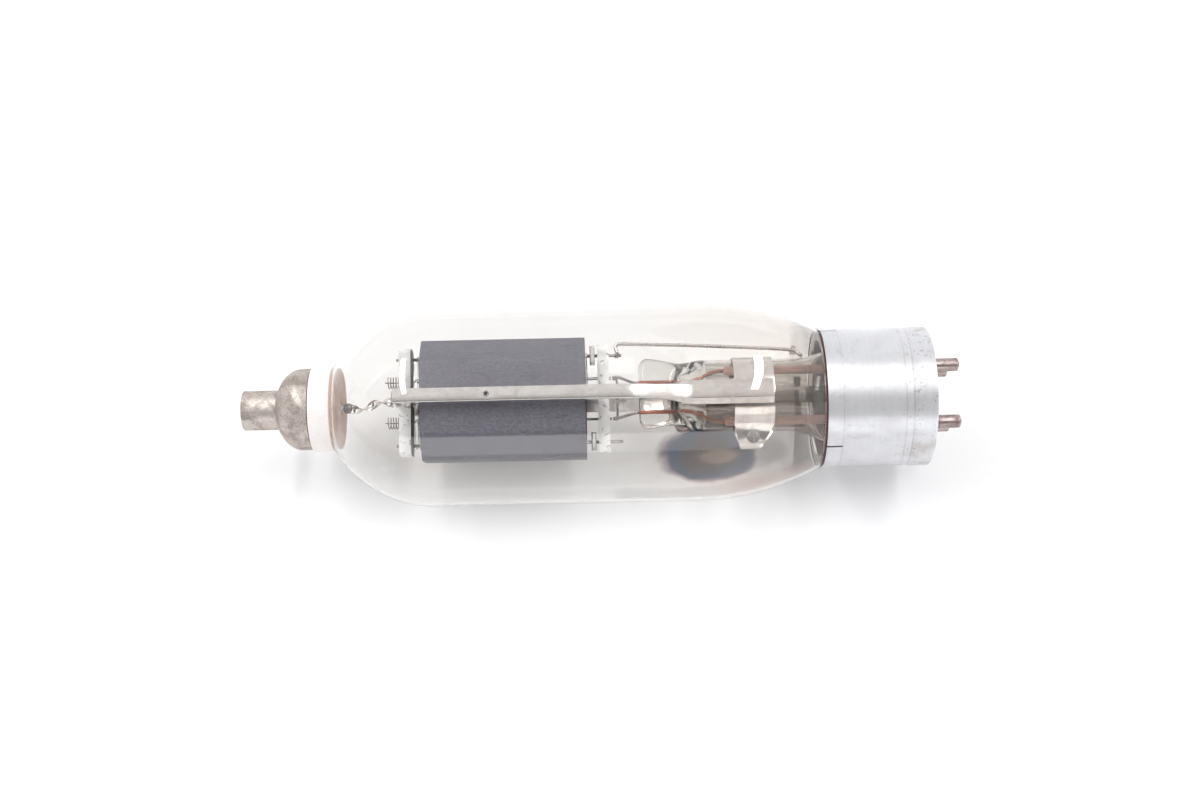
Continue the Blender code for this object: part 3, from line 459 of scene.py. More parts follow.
FINISHES = {
    "clear_glass": glass_finish("clear_glass", (0.930, 0.920, 0.906), (0.985, 0.983, 0.98)),
    "stem_glass": glass_finish("stem_glass", (0.88, 0.875, 0.85), (0.97, 0.965, 0.955)),
    "bright_aluminium": aluminium_finish(),
    "graphite": graphite_finish(),
    "getter_film": getter_finish(),
    "dark_collar": collar_finish(),
    "stem_painted_reflection": stem_reflection_finish(),
    "neck_haze": haze_finish(),
    "white_floor": floor_finish(),
}
for name, *look in (
    ("white_ceramic", (0.83, 0.785, 0.765), (0.79, 0.74, 0.72), (0.55, 0.48, 0.44), 0.10),
    ("bare_ceramic", (0.88, 0.87, 0.85), (0.62, 0.61, 0.61), (0.22, 0.20, 0.21), 0.80),
    # Painted shade with some soot, for the spacers' faces towards the anode.
    ("soot_and_shade_ceramic", (0.16, 0.15, 0.15), (0.09, 0.085, 0.09), (0.05, 0.05, 0.05), 0.5),
):
    FINISHES[name] = ceramic_finish(name, *look)
for name, *look in (
    ("brown_cement", (0.060, 0.022, 0.020), (0.12, 0.05, 0.042)),
    ("peach_cement", (0.50, 0.33, 0.25), (0.68, 0.50, 0.41)),
    ("brown_sleeve", (0.42, 0.20, 0.165), (0.60, 0.36, 0.30)),
):
    FINISHES[name] = cement_finish(name, *look)
for name, *look in (
    ("tarnished_brass", (0.44, 0.36, 0.34), (0.32, 0.24, 0.23), (0.14, 0.10, 0.10), 0.38, 0.6, EVEN, 0.012),
    ("tarnished_nickel", (0.575, 0.52, 0.475), (0.455, 0.40, 0.365), (0.27, 0.22, 0.20), 0.60,
     0.6, EVEN, 0.008, 1500.0),
    ("bright_nickel", (0.78, 0.75, 0.73), (0.69, 0.655, 0.635), (0.52, 0.48, 0.46), 0.15,
     0.35, ROLLED, 0.005),
    ("molybdenum", (0.42, 0.40, 0.39), (0.30, 0.28, 0.28), (0.14, 0.12, 0.12), 0.30, 0.5, DRAWN, 0.006),
    ("lead_metal", (0.68, 0.65, 0.62), (0.54, 0.51, 0.48), (0.30, 0.26, 0.24), 0.30, 0.5, DRAWN, 0.006),
    ("tungsten", (0.26, 0.24, 0.24), (0.17, 0.155, 0.155), (0.10, 0.08, 0.08), 0.35, 0.5, EVEN, 0.008),
    ("copper_wire", (0.50, 0.20, 0.13), (0.36, 0.13, 0.09), (0.17, 0.07, 0.06), 0.35, 0.5, EVEN, 0.01),
    ("getter_metal", (0.38, 0.33, 0.30), (0.27, 0.23, 0.21), (0.12, 0.10, 0.10), 0.42),
):
    FINISHES[name] = metal_finish(name, *look)


# ---- Shapes --------------------


def add_object(name, data):
    item = bpy.data.objects.new(name, data)
    bpy.context.scene.collection.objects.link(item)
    return item


def mesh_of(body, name):
    mesh = bpy.data.meshes.new(name)
    body.to_mesh(mesh)
    body.free()
    return mesh


def shade(mesh, sharp):
    mesh.shade_smooth()
    mesh.set_sharp_from_angle(angle=math.radians(sharp))


def place_mesh(name, mesh, basis, finish, nodes=(), sharp=35.0):
    """Makes a finished piece of a mesh modelled in millimetres."""
    mesh.name = name
    mesh.transform(basis)
    mesh.materials.clear()
    mesh.materials.append(FINISHES[finish])
    shade(mesh, sharp)
    piece = add_object(name, mesh)
    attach(piece, ROOT)
    if nodes:
        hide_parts(*nodes)
    return piece


def place_body(name, body, basis, finish, nodes=(), sharp=35.0):
    bmesh.ops.remove_doubles(body, verts=body.verts, dist=0.0005)
    bmesh.ops.recalc_face_normals(body, faces=body.faces)
    return place_mesh(name, mesh_of(body, name), basis, finish, nodes, sharp)


def arc(centre, radius, start, end, steps):
    """Points along an arc; angles in degrees."""
    points = []
    for step in range(steps + 1):
        angle = math.radians(start + (end - start) * step / steps)
        points.append((centre[0] + radius * math.cos(angle), centre[1] + radius * math.sin(angle)))
    return points


def circle(centre, radius, steps=40):
    return arc(centre, radius, 0.0, 360.0, steps)[:-1]


def rectangle(low, high, fillet, steps):
    """Upright rectangle with rounded corners."""
    corners = [(high.x, low.y), (high.x, high.y), (low.x, high.y), (low.x, low.y)]
    return filleted([(*corner, fillet) for corner in corners], steps)


def filleted(corners, steps=5, closed=True):
    """Outline with its corners rounded.  Each corner is (x, y) or (x, y, fillet radius)."""
    outline = []
    count = len(corners)
    for index, corner in enumerate(corners):
        here = Vector(corner[:2])
        fillet = corner[2] if len(corner) > 2 else 0.0
        if not fillet or (not closed and index in (0, count - 1)):
            outline.append(tuple(here))
            continue
        before = Vector(corners[index - 1][:2]) - here
        after = Vector(corners[(index + 1) % count][:2]) - here
        reach = min(before.length, after.length) * 0.49
        before.normalize()
        after.normalize()
        half = before.angle(after) / 2
        back = min(fillet / math.tan(half), reach)
        start = here + before * back
        end = here + after * back
        for step in range(steps + 1):
            part = step / steps
            bend = start.lerp(here, part).lerp(here.lerp(end, part), part)
            outline.append(tuple(bend))
    return outline


def bridge(body, rows, closed=True):
    """Faces between neighbouring rows of vertices; closed rows join their last column to the first."""
    for lower, upper in zip(rows, rows[1:]):
        count = len(lower)
        for i in range(count if closed else count - 1):
            j = (i + 1) % count
            corners = []
            for vertex in (lower[i], lower[j], upper[j], upper[i]):
                if vertex not in corners:
                    corners.append(vertex)
            if len(corners) > 2:
                body.faces.new(corners)


def lathe(name, profile, basis, finish, nodes=(), sides=96, closed=True, sharp=35.0, shape=None):
    """Body of revolution from (radius, station) points; shape may move each (angle, radius, station)."""
    body = bmesh.new()
    rings = []
    for radius, station in profile:
        if radius < 1e-6:
            rings.append([body.verts.new((0.0, 0.0, station))] * sides)
            continue
        ring = []
        for step in range(sides):
            angle = 2 * math.pi * step / sides
            reach = shape(angle, radius, station) if shape else radius
            ring.append(body.verts.new((reach * math.cos(angle), reach * math.sin(angle), station)))
        rings.append(ring)
    bridge(body, [*rings, rings[0]] if closed else rings)
    return place_body(name, body, basis, finish, nodes, sharp)


def turned(name, profile, basis, finish, nodes=(), sides=40, steps=5):
    """Solid of revolution from (radius, station, fillet) corners that start and end on the axis."""
    return lathe(name, filleted(profile, steps, False), basis, finish, nodes, sides, False)


def loft_body(rings):
    """Closed body through rings with equal point counts, capped at both ends."""
    body = bmesh.new()
    loops = [[body.verts.new(point) for point in ring] for ring in rings]
    bridge(body, loops)
    body.faces.new(list(reversed(loops[0])))
    body.faces.new(loops[-1])
    return body


def smooth_path(points, steps=6):
    """Points along a Catmull-Rom curve through the given ones."""
    knots = [Vector(point) for point in points]
    knots = [2 * knots[0] - knots[1], *knots, 2 * knots[-1] - knots[-2]]
    path = []
    for a, b, c, d in zip(knots, knots[1:], knots[2:], knots[3:]):
        for step in range(steps):
            t = step / steps
            path.append(0.5 * ((2 * b) + (c - a) * t + (2 * a - 5 * b + 4 * c - d) * t * t
                               + (3 * b - a - 3 * c + d) * t ** 3))
    path.append(knots[-2])
    return path


def tube_rings(path, radius, sides):
    """Rings square to a path, turned as little as possible from one to the next."""
    rings = []
    across = None
    for index, point in enumerate(path):
        ahead = path[min(index + 1, len(path) - 1)] - path[max(index - 1, 0)]
        ahead.normalize()
        if across is None:
            across = ahead.orthogonal().normalized()
        across = (across - ahead * across.dot(ahead)).normalized()
        other = ahead.cross(across)
        ring = []
        for step in range(sides):
            angle = 2 * math.pi * step / sides
            ring.append(point + across * radius * math.cos(angle) + other * radius * math.sin(angle))
        rings.append(ring)
    return rings


def wire(name, path, radius, finish, nodes=(), sides=14, basis=CAGE):
    """Round wire with softened ends."""
    path = [Vector(point) for point in path]
    rings = tube_rings(path, radius, sides)
    start = (path[1] - path[0]).normalized()
    end = (path[-1] - path[-2]).normalized()
    tip = radius * 0.35
    first = [path[0] + (point - path[0]) * 0.6 for point in rings[0]]
    rings[0] = [point + start * tip for point in rings[0]]
    last = [path[-1] + (point - path[-1]) * 0.6 for point in rings[-1]]
    rings[-1] = [point - end * tip for point in rings[-1]]
    return place_body(name, loft_body([first, *rings, last]), basis, finish, nodes, 50.0)


def add_cuts(holder, cutters):
    """Lets boolean modifiers cut the given meshes out of an object; returns the cutting objects."""
    drills = []
    for mesh in cutters:
        drill = add_object("drill", mesh)
        boolean = holder.modifiers.new("cut", "BOOLEAN")
        boolean.solver = "EXACT"
        boolean.object = drill
        drills.append(drill)
    return drills


def soften(holder, width, angle):
    """Bevels the edges that turn by more than an angle in degrees."""
    bevel = holder.modifiers.new("soften", "BEVEL")
    bevel.width = width
    bevel.segments = 2
    bevel.limit_method = "ANGLE"
    bevel.angle_limit = math.radians(angle)


def shown_mesh(holder, helpers=()):
    """The mesh an object shows with its modifiers; the helpers are removed afterwards."""
    graph = bpy.context.evaluated_depsgraph_get()
    mesh = bpy.data.meshes.new_from_object(holder.evaluated_get(graph))
    for helper in helpers:
        bpy.data.objects.remove(helper, do_unlink=True)
    return mesh


def cut_out(piece, cutters, basis, sharp):
    """Cuts meshes modelled in millimetres out of a finished piece."""
    for mesh in cutters:
        mesh.transform(basis)
    drills = add_cuts(piece, cutters)
    mesh = shown_mesh(piece, drills)
    piece.modifiers.clear()
    piece.data = mesh
    shade(mesh, sharp)


def plate(name, outlines, stations, finish, nodes=(), bevel=0.25, basis=CAGE):
    """Flat piece between two stations with softened edges: the first outline is its edge."""
    curve = bpy.data.curves.new(name, "CURVE")
    curve.dimensions = "2D"
    curve.fill_mode = "BOTH"
    curve.extrude = (stations[1] - stations[0]) / 2
    for outline in outlines:
        spline = curve.splines.new("POLY")
        spline.points.add(len(outline) - 1)
        for point, (x, y) in zip(spline.points, outline):
            point.co = (x, y, 0.0, 1.0)
        spline.use_cyclic_u = True
    holder = add_object(name + "_outline", curve)
    weld = holder.modifiers.new("weld", "WELD")
    weld.merge_threshold = 0.0005
    soften(holder, bevel, 60)
    mesh = shown_mesh(holder, [holder])
    mesh.transform(Matrix.Translation((0.0, 0.0, sum(stations) / 2)))
    return place_mesh(name, mesh, basis, finish, nodes, 30.0)


def sheet(name, rows, thickness, nodes, holes=()):
    """Bright sheet metal through rows of points, drilled along the given (start, end, radius)."""
    skin = bmesh.new()
    bridge(skin, [[skin.verts.new(point) for point in row] for row in rows], False)
    holder = add_object(name + "_skin", mesh_of(skin, name))
    solidify = holder.modifiers.new("thickness", "SOLIDIFY")
    solidify.thickness = thickness
    solidify.offset = 0.0
    solidify.use_even_offset = True
    drills = add_cuts(holder, [rod_mesh(*hole) for hole in holes])
    soften(holder, thickness * 0.22, 50)
    mesh = shown_mesh(holder, [holder, *drills])
    return place_mesh(name, mesh, CAGE, "bright_nickel", nodes, 40.0)


def rod_mesh(start, end, radius, sides=32):
    start = Vector(start)
    axis = Vector(end) - start
    turn = axis.to_track_quat("Z", "Y").to_matrix().to_4x4()
    body = bmesh.new()
    bmesh.ops.create_cone(body, cap_ends=True, segments=sides, radius1=radius, radius2=radius,
                          depth=axis.length, matrix=Matrix.Translation(start + axis / 2) @ turn)
    return mesh_of(body, "rod")


def coil(start, radii, pitch, turns, per_turn):
    """Points along a helix that climbs from its start towards the cap."""
    path = []
    for step in range(round(turns * per_turn) + 1):
        angle = 2 * math.pi * step / per_turn
        path.append((start[0] + radii[0] * math.cos(angle), start[1] + radii[1] * math.sin(angle),
                     start[2] + pitch * step / per_turn))
    return path


# ---- Glass --------------------


BULB_RADIUS = (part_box("glass_bulb")[1].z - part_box("glass_bulb")[0].z) / 2 / MM - BULB_WAVE
BULB_LOW, BULB_HIGH = (corner.z for corner in extent("glass_bulb", TUBE))
SHELL_LOW, SHELL_HIGH = extent("base_shell", TUBE)
SHELL_TOP = SHELL_HIGH.z
SHELL_RADIUS = (SHELL_HIGH.x - SHELL_LOW.x) / 2 - 0.2
SKIRT_RADIUS = SHELL_RADIUS - 2.5


def dome_profile(offset, steps=30):
    """Cap end of the bulb from the neck's shelf to the straight wall, drawn in by the offset."""
    radius = DOME_ARC - offset
    end = math.degrees(math.asin((NECK_STATION - offset - DOME_BASE) / radius))
    return arc((BULB_RADIUS - DOME_ARC, DOME_BASE), radius, end, 0.0, steps)


def shoulder_profile(offset, steps=30):
    """Base end of the bulb from the straight wall down to the shell's rim, drawn in by the offset."""
    radius = SHOULDER_ARC - offset
    end = math.degrees(math.asin((SHELL_TOP + 1.1 - SHOULDER_TOP) / radius))
    return arc((BULB_RADIUS - SHOULDER_ARC, SHOULDER_TOP), radius, 0.0, end, steps)


def wavy(angle, radius, station):
    """Blown glass is never quite round: moves a point in or out by a few hundredths."""
    turn = Vector((math.cos(angle), math.sin(angle), station / 30.0))
    return radius + BULB_WAVE * noise.noise(turn * 1.3) * min(radius / BULB_RADIUS, 1.0)


def glass_bulb():
    rim = SHELL_TOP + 1.0
    dome = dome_profile(0.0)
    neck = [(LEAD_HOLE, BULB_HIGH), (5.5, BULB_HIGH - 0.7, 1.0), (9.2, BULB_HIGH - 2.4, 2.0)]
    neck += [(NECK_RADIUS, NECK_TOP, 2.0), (NECK_RADIUS, NECK_STATION, 1.4)]
    neck += [(dome[0][0] - 1.0, NECK_STATION, 0.6)]
    skirt = [(SKIRT_RADIUS + 0.8, rim, 0.6), (SKIRT_RADIUS, rim - 1.0, 0.6), (SKIRT_RADIUS, BULB_LOW, 0.4)]
    inside = SKIRT_RADIUS - BULB_WALL
    outer = filleted([*neck, dome[0]], closed=False)[:-1] + dome + shoulder_profile(0.0)
    outer += filleted([outer[-1], *skirt, (inside, BULB_LOW)], closed=False)[1:-1]
    inner = [(inside, BULB_LOW), (inside, rim), *reversed(shoulder_profile(BULB_WALL))]
    inner += reversed(dome_profile(BULB_WALL))
    throat = NECK_RADIUS - BULB_WALL
    bend = [inner[-1], (throat, NECK_STATION - BULB_WALL, 1.2), (throat, NECK_TOP - 0.4, 1.5)]
    bend += [(7.8, BULB_HIGH - 3.2, 1.0), (LEAD_HOLE, BULB_HIGH - 1.4)]
    inner += filleted(bend, closed=False)[1:]
    lathe("glass_envelope", outer + inner, TUBE, "clear_glass", ("glass_bulb",), BULB_SIDES, sharp=50.0,
          shape=wavy)


def bulb_lining(gap, stations):
    """Radii just inside the bulb's base half at the given stations."""
    reach = SHOULDER_ARC - BULB_WALL - gap
    points = []
    for station in stations:
        drop = max(SHOULDER_TOP - station, 0.0)
        points.append((BULB_RADIUS - SHOULDER_ARC + math.sqrt(reach * reach - drop * drop), station))
    return points


def let_light_pass(piece):
    """Thin clear pieces and thin films neither shade the floor nor take its bounced light."""
    piece.visible_shadow = False
    piece.visible_diffuse = False


def getter_film():
    """Thin skin inside the bulb's lower wall; its material says where the film is."""
    stations = [FILM_STATION + FILM_REACH * (step / 32 - 1) for step in range(65)]
    skin = bulb_lining(0.16, stations)
    rings = []
    for step in range(73):
        angle = FILM_ANGLE + FILM_SPREAD * (step / 36 - 1)
        outward = Vector((0.0, math.cos(angle), math.sin(angle)))
        turn = Vector((outward.dot(FRONT), outward.dot(SIDE), 0.0))
        outer = [turn * radius + Vector((0.0, 0.0, station)) for radius, station in skin]
        inner = [turn * (radius - SKIN) + Vector((0.0, 0.0, station)) for radius, station in reversed(skin)]
        rings.append(outer + inner)
    let_light_pass(place_body("getter_film", loft_body(rings), TUBE, "getter_film", (), 80.0))


def film_sleeve(name, outer, basis, sides):
    """Thin round skin, drawn in from its outer (radius, station) points; its finish has its name."""
    inner = [(radius - SKIN, station) for radius, station in reversed(outer)]
    let_light_pass(lathe(name, outer + inner, basis, name, (), sides, sharp=80.0))


def dark_collar():
    stations = [SHELL_TOP + 1.8 + 0.9 * step for step in range(13)]
    film_sleeve("dark_collar", bulb_lining(0.08, stations), TUBE, BULB_SIDES)


# Painted reflection: a skin inside the stem carries brown streaks for the copper leads' reflection.
def stem_painted_reflection():
    film_sleeve("stem_painted_reflection", [(11.75, 44.0), (11.75, 80.0)], CAGE, STEM_SIDES)


def stem_ring(station, depth, width, squareness, drop):
    ring = []
    for step in range(STEM_SIDES):
        angle = 2 * math.pi * step / STEM_SIDES
        x = math.copysign(abs(math.cos(angle)) ** (2 / squareness), math.cos(angle))
        y = math.copysign(abs(math.sin(angle)) ** (2 / squareness), math.sin(angle))
        ring.append((depth * x, width * y - drop, station))
    return ring


def stem_rings(keys):
    """Rings through the key sections (station, depth, width, squareness)."""
    rings = []
    sizes = smooth_path([key[:3] for key in keys], 5)
    shapes = smooth_path([(key[0], key[3], 0.0) for key in keys], 5)
    for size, shape in zip(sizes, shapes):
        settle = min(max((size.x - 30.0) / 20.0, 0.0), 1.0)
        lift = PRESS_LIFT * min(max((size.x - 80.0) / 14.0, 0.0), 1.0)
        rings.append(stem_ring(size.x, size.y, size.z, shape.y, CAGE_RISE * (1.0 - settle) - lift))
    return rings


def glass_stem():
    """Flared tube that flattens into a press."""
    low, high = extent("glass_stem")
    top = high.z
    flare = [(low.z, 20.8), (31.5, 20.2), (36.0, 17.4), (40.0, 15.2), (44.0, 13.9)]
    flare += [(50.0, STEM_RADIUS), (64.0, STEM_RADIUS), (78.0, STEM_RADIUS)]
    outer = [(station, radius, radius, 2.0) for station, radius in flare]
    outer += [(82.0, 11.6, 12.9, 2.1), (86.0, 8.0, 11.8, 2.6), (90.0, 4.7, 11.2, 3.6)]
    outer += [(94.0, 3.25, 11.7, 4.6), (top - 3.4, 3.25, 12.8, 4.6), (top - 1.3, 3.0, 12.0, 4.2)]
    outer += [(top - 0.3, 2.3, 10.6, 4.0), (top, 1.4, 9.4, 4.0)]
    inner = [(station, radius - BULB_WALL, radius - BULB_WALL, 2.0) for station, radius in flare]
    inner += [(82.0, 9.6, 11.0, 2.0), (85.5, 5.0, 8.6, 2.2), (88.5, 1.8, 6.6, 2.4)]
    rings = [*reversed(stem_rings(inner)), *stem_rings(outer)]
    let_light_pass(place_body("stem_glass", loft_body(rings), CAGE, "stem_glass", ("glass_stem",), 60.0))


def exhaust_tube():
    """Pumping tube with a drawn-off, sealed tip."""
    low, high = extent("exhaust_tube")
    profile = [(0.0, low.z + 2.0), (1.0, low.z + 2.6), (2.2, low.z + 7.0, 2.0), (2.2, high.z, 0.2)]
    profile += [(3.0, high.z, 0.2), (3.0, low.z + 6.0, 3.0), (1.6, low.z + 1.5, 1.0), (0.0, low.z)]
    turned("exhaust_stub", profile, CAGE, "stem_glass", ("exhaust_tube",))


def grid_lead_bead():
    lean = Matrix.Rotation(BEAD_LEAN, 4, "X")
    basis = CAGE @ Matrix.Translation(centre_of("grid_lead_bead")) @ lean
    lathe("lead_bead", arc((0.9, 0.0), 1.1, 90.0, -90.0, 10), basis, "stem_glass", ("grid_lead_bead",), 40)


# ---- Base --------------------


def base_shell():
    """Spun shell: rounded rim, ring groove, crease, and three short slits at the glass end."""
    radius = SHELL_RADIUS
    inner = radius - SHELL_WALL
    profile = [(radius, SHELL_TOP, 0.12), (radius, CREASE + 0.5, 0.3), (radius - 0.10, CREASE, 0.3)]
    profile += [(radius, CREASE - 0.5, 0.3), (radius - 0.02, 20.0), (radius, SHELL_RING + 1.3, 0.3)]
    profile += [(radius - 0.35, SHELL_RING + 0.3, 0.5), (radius + 0.02, SHELL_RING - 0.7, 0.5)]
    profile += [(radius + 0.2, SHELL_RING - 2.0, 0.8), (radius + 0.2, 0.0, 1.3), (radius - 2.0, 0.0, 0.15)]
    profile += [(radius - 2.0, SHELL_WALL, 0.15), (inner, SHELL_WALL, 0.8), (inner, SHELL_TOP, 0.12)]
    shell = lathe("aluminium_shell", filleted(profile, 6), TUBE, "bright_aluminium", ("base_shell",), 192)
    at = centre_of("bayonet_pin", TUBE).z
    hole = rod_mesh((-radius + 3.0, 0.0, at), (-radius - 3.0, 0.0, at), 1.4)
    cut_out(shell, [slits_mesh(), hole], TUBE, 35.0)


def slits_mesh():
    """Cutter for the slits: thin boxes that stand through the wall."""
    body = bmesh.new()
    size = Matrix.Diagonal((4.0, SLIT_WIDTH, SLIT_LENGTH + 2.0, 1.0))
    spot = Matrix.Translation((SHELL_RADIUS, 0.0, SHELL_TOP + 1.0 - SLIT_LENGTH / 2))
    for angle in SLIT_ANGLES:
        turn = Matrix.Rotation(math.radians(angle), 4, "Z")
        bmesh.ops.create_cube(body, size=1.0, matrix=turn @ spot @ size)
    return mesh_of(body, "slits")


def base_cement():
    lip = SHELL_TOP + 0.3
    edge = SHELL_RADIUS - 0.1
    inner = SKIRT_RADIUS + 0.3
    outer = SHELL_RADIUS - 1.0
    profile = [(edge, lip + 0.5, 0.25), (edge, lip, 0.1), (outer, lip), (outer, 31.0), (inner, 31.0)]
    profile += [(inner, SHELL_TOP - 0.3), (SKIRT_RADIUS + 1.3, lip + 0.3, 0.2)]
    lathe("rim_cement", filleted(profile), TUBE, "brown_cement", ("base_cement",), 128, shape=ragged)


def ragged(angle, radius, station):
    """Cement wanders a little in or out along its edge."""
    return radius + 0.08 * noise.noise(Vector((math.cos(angle) * 9, math.sin(angle) * 9, station)))


def base_wafer():
    low, high = extent("base_wafer", TUBE)
    outlines = [circle((0.0, 0.0), high.x, 96)]
    for number in range(1, 5):
        outlines.append(circle(centre_of("pin_" + str(number), TUBE)[:2], 2.65, 32))
    plate("insulating_wafer", outlines, (low.z, high.z), "white_ceramic", ("base_wafer",), 0.3, TUBE)


def base_pins():
    """Pins with a rounded, soldered tip, a shoulder at the wafer and a riveted eyelet."""
    under, over = (corner.z for corner in extent("base_wafer", TUBE))
    radius = PIN_RADIUS
    for number in range(1, 5):
        node = "pin_" + str(number)
        low, high = extent(node, TUBE)
        tip = low.z
        profile = [(0.0, high.z), (radius, high.z, 0.4), (radius, over + 1.3, 0.2), (3.4, over + 1.3, 0.2)]
        profile += [(3.4, over + 0.3, 0.1), (radius, over + 0.3), (radius, under - 0.15)]
        profile += [(3.3, under - 0.15, 0.2), (3.1, -0.9, 0.35), (radius, -1.2, 0.3)]
        profile += [(radius, tip + 0.5, 1.5), (1.1, tip + 0.35, 0.5), (0.9, tip, 0.3), (0.0, tip)]
        centre = centre_of(node, TUBE)
        basis = TUBE @ Matrix.Translation((centre.x, centre.y, 0.0))
        turned("contact_" + node, profile, basis, "tarnished_brass", (node,), 48, 6)


def bayonet_pin():
    """Locking pin that stands out of the shell's side."""
    low, high = extent("bayonet_pin", TUBE)
    lean = Matrix.Rotation(math.radians(-90), 4, "Y")
    basis = TUBE @ Matrix.Translation((high.x, 0.0, (low.z + high.z) / 2)) @ lean
    length = high.x - low.x
    profile = [(0.0, length), (1.15, length, 0.5), (1.15, 1.0), (2.0, 0.9, 0.2), (2.0, 0.0, 0.2), (0.0, 0.0)]
    turned("locking_pin", profile, basis, "tarnished_brass", ("bayonet_pin",))


def pin_wires():
    """Leads from the pins; the filament's two wear sleeves where they lie apart inside the stem."""
    for label, pin, sign in (("upper", "pin_1", 1), ("lower", "pin_2", -1)):
        node = "filament_wire_" + label
        x, y = centre_of(pin, TUBE)[:2]
        start = extent(pin, TUBE)[1].z + 0.4
        top = extent(node, TUBE)[1].z
        lead = sign * SEAL_SIDE + CAGE_RISE
        wide = sign * LEAD_SPREAD + CAGE_RISE
        path = [(x, y, start), (x, y, 12.0), (0.4 * x, 0.75 * y, 24.0), (0.0, wide, 40.0), (0.0, wide, 56.0)]
        path += [(0.0, wide, 74.0), (0.0, wide - sign * 1.6, 80.5), (0.0, lead, 86.5), (0.0, lead, top)]
        wire("press_lead_" + label, smooth_path(path), 0.75, "copper_wire", (node,), basis=TUBE)
        sleeve = [(0.0, wide, 36.0), (0.0, wide, 56.0), (0.0, wide, 73.0)]
        wire("lead_sleeve_" + label, sleeve, 1.65, "brown_sleeve", (), 24, TUBE)
    x, y = centre_of("pin_4", TUBE)[:2]
    path = [(x, y, extent("pin_4", TUBE)[1].z + 0.4), (x, y, 12.0), (0.4 * x, 12.4, 26.0), (0.0, 13.2, 37.0)]
    wire("flare_lead", smooth_path(path), 0.5, "copper_wire", ("grid_wire",), basis=TUBE)


# ---- Top cap --------------------


def cap_ring():
    low, high = extent("cap_insulator_ring", TUBE)
    inner = NECK_RADIUS + 0.4
    profile = [(inner, high.z, 0.2), (high.x, high.z, 0.5), (high.x, low.z, 0.5), (inner, low.z, 0.2)]
    lathe("ceramic_ring", filleted(profile, 6), TUBE, "white_ceramic", ("cap_insulator_ring",), 128)


def ring_cement():
    """Cement that beds the ceramic ring on the bulb; it shows brown through the glass."""
    low, high = extent("cap_insulator_ring", TUBE)
    bed = NECK_STATION + 0.06
    profile = [(NECK_RADIUS + 0.06, high.z + 0.1), (NECK_RADIUS + 0.34, high.z + 0.1)]
    profile += [(NECK_RADIUS + 0.34, low.z - 0.05, 0.1), (high.x - 0.3, low.z - 0.05, 0.1)]
    profile += [(high.x - 0.1, bed + 0.1, 0.1), (high.x - 0.6, bed, 0.1), (NECK_RADIUS + 1.6, bed)]
    profile += [(NECK_RADIUS + 0.5, bed + 0.2, 0.2), (NECK_RADIUS + 0.06, bed + 1.4)]
    lathe("ring_cement", filleted(profile), TUBE, "peach_cement", (), 96)


def neck_haze():
    """Brown tint of the ring's bed, as it shows through the glass below the neck."""
    station = NECK_STATION - BULB_WALL - 0.3
    profile = [(2.2, station), (14.6, station), (14.6, station - 0.04), (2.2, station - 0.04)]
    let_light_pass(lathe("neck_haze", profile, TUBE, "neck_haze", (), 96, sharp=80.0))


def cap_outline(offset, low, high):
    """Cap from the post's edge down to its skirt; the shoulder is a quarter of an ellipse."""
    reach = high.x - offset
    lip = 0.0 if offset else 0.12
    points = [(POST_RADIUS - offset, high.z - offset, 0.7), (POST_RADIUS - offset, POST_FOOT, 0.6)]
    rise = POST_FOOT - CAP_SKIRT - 0.4 - offset
    start = math.acos((POST_RADIUS + 0.7) / high.x)
    for step in range(1, 17):
        angle = start * (1 - step / 16)
        points.append((reach * math.cos(angle), CAP_SKIRT + rise * math.sin(angle) / math.sin(start)))
    return [*points, (reach, low.z + 0.9, 0.3), (reach + lip, low.z, 0.15)]


def dented(angle, radius, station):
    """Small dents on the post and the shoulder of the cap."""
    place = Vector((math.cos(angle) * radius, math.sin(angle) * radius, station))
    return radius - 0.06 * max(noise.noise(place / 3.2), 0.0) - 0.03 * noise.noise(place / 1.4)


def cap_shell():
    """Thin cap, open in the middle of its post where solder closes it."""
    low, high = extent("cap_shell", TUBE)
    outer = [(CAP_HOLE, high.z - 0.35, 0.1), (1.9, high.z, 0.2), *cap_outline(0.0, low, high)]
    inner = [*reversed(cap_outline(CAP_WALL, low, high)), (CAP_HOLE, high.z - CAP_WALL - 0.2)]
    lathe("top_cap", filleted(outer + inner, 6), TUBE, "tarnished_nickel", ("cap_shell",), 96, shape=dented)
    edge = CAP_HOLE - 0.05
    profile = [(0.0, high.z - 0.9), (edge, high.z - 0.9), (edge, high.z - 0.35), (0.9, high.z - 0.12, 0.3)]
    turned("tip_solder", [*profile, (0.0, high.z - 0.02)], TUBE, "bright_nickel")


def cap_cement():
    low, high = extent("cap_cement", TUBE)
    inner = NECK_RADIUS + 0.4
    profile = [(inner, high.z, 0.3), (high.x, high.z, 0.3), (high.x, low.z + 0.1), (inner, low.z + 0.1)]
    lathe("cap_filling", filleted(profile), TUBE, "peach_cement", ("cap_cement",), 64)


def anode_lead():
    """Rod from the ribbon up to the cap, with a weld at its foot."""
    node = "anode_lead_rod"
    low, high = extent(node, TUBE)
    path = [(0, 0, low.z), (0, 0, low.z + 6), (0, 0, high.z - 0.8)]
    wire("cap_lead", path, (high.x - low.x) / 2, "molybdenum", (node,), 20, TUBE)
    foot = low.z - 1.8
    profile = [(0.0, foot + 3.4), (0.9, foot + 3.4), (1.9, foot + 3.0, 0.8), (1.9, foot + 0.6, 1.0)]
    turned("lead_weld", [*profile, (0.0, foot)], TUBE, "tungsten", (), 32)


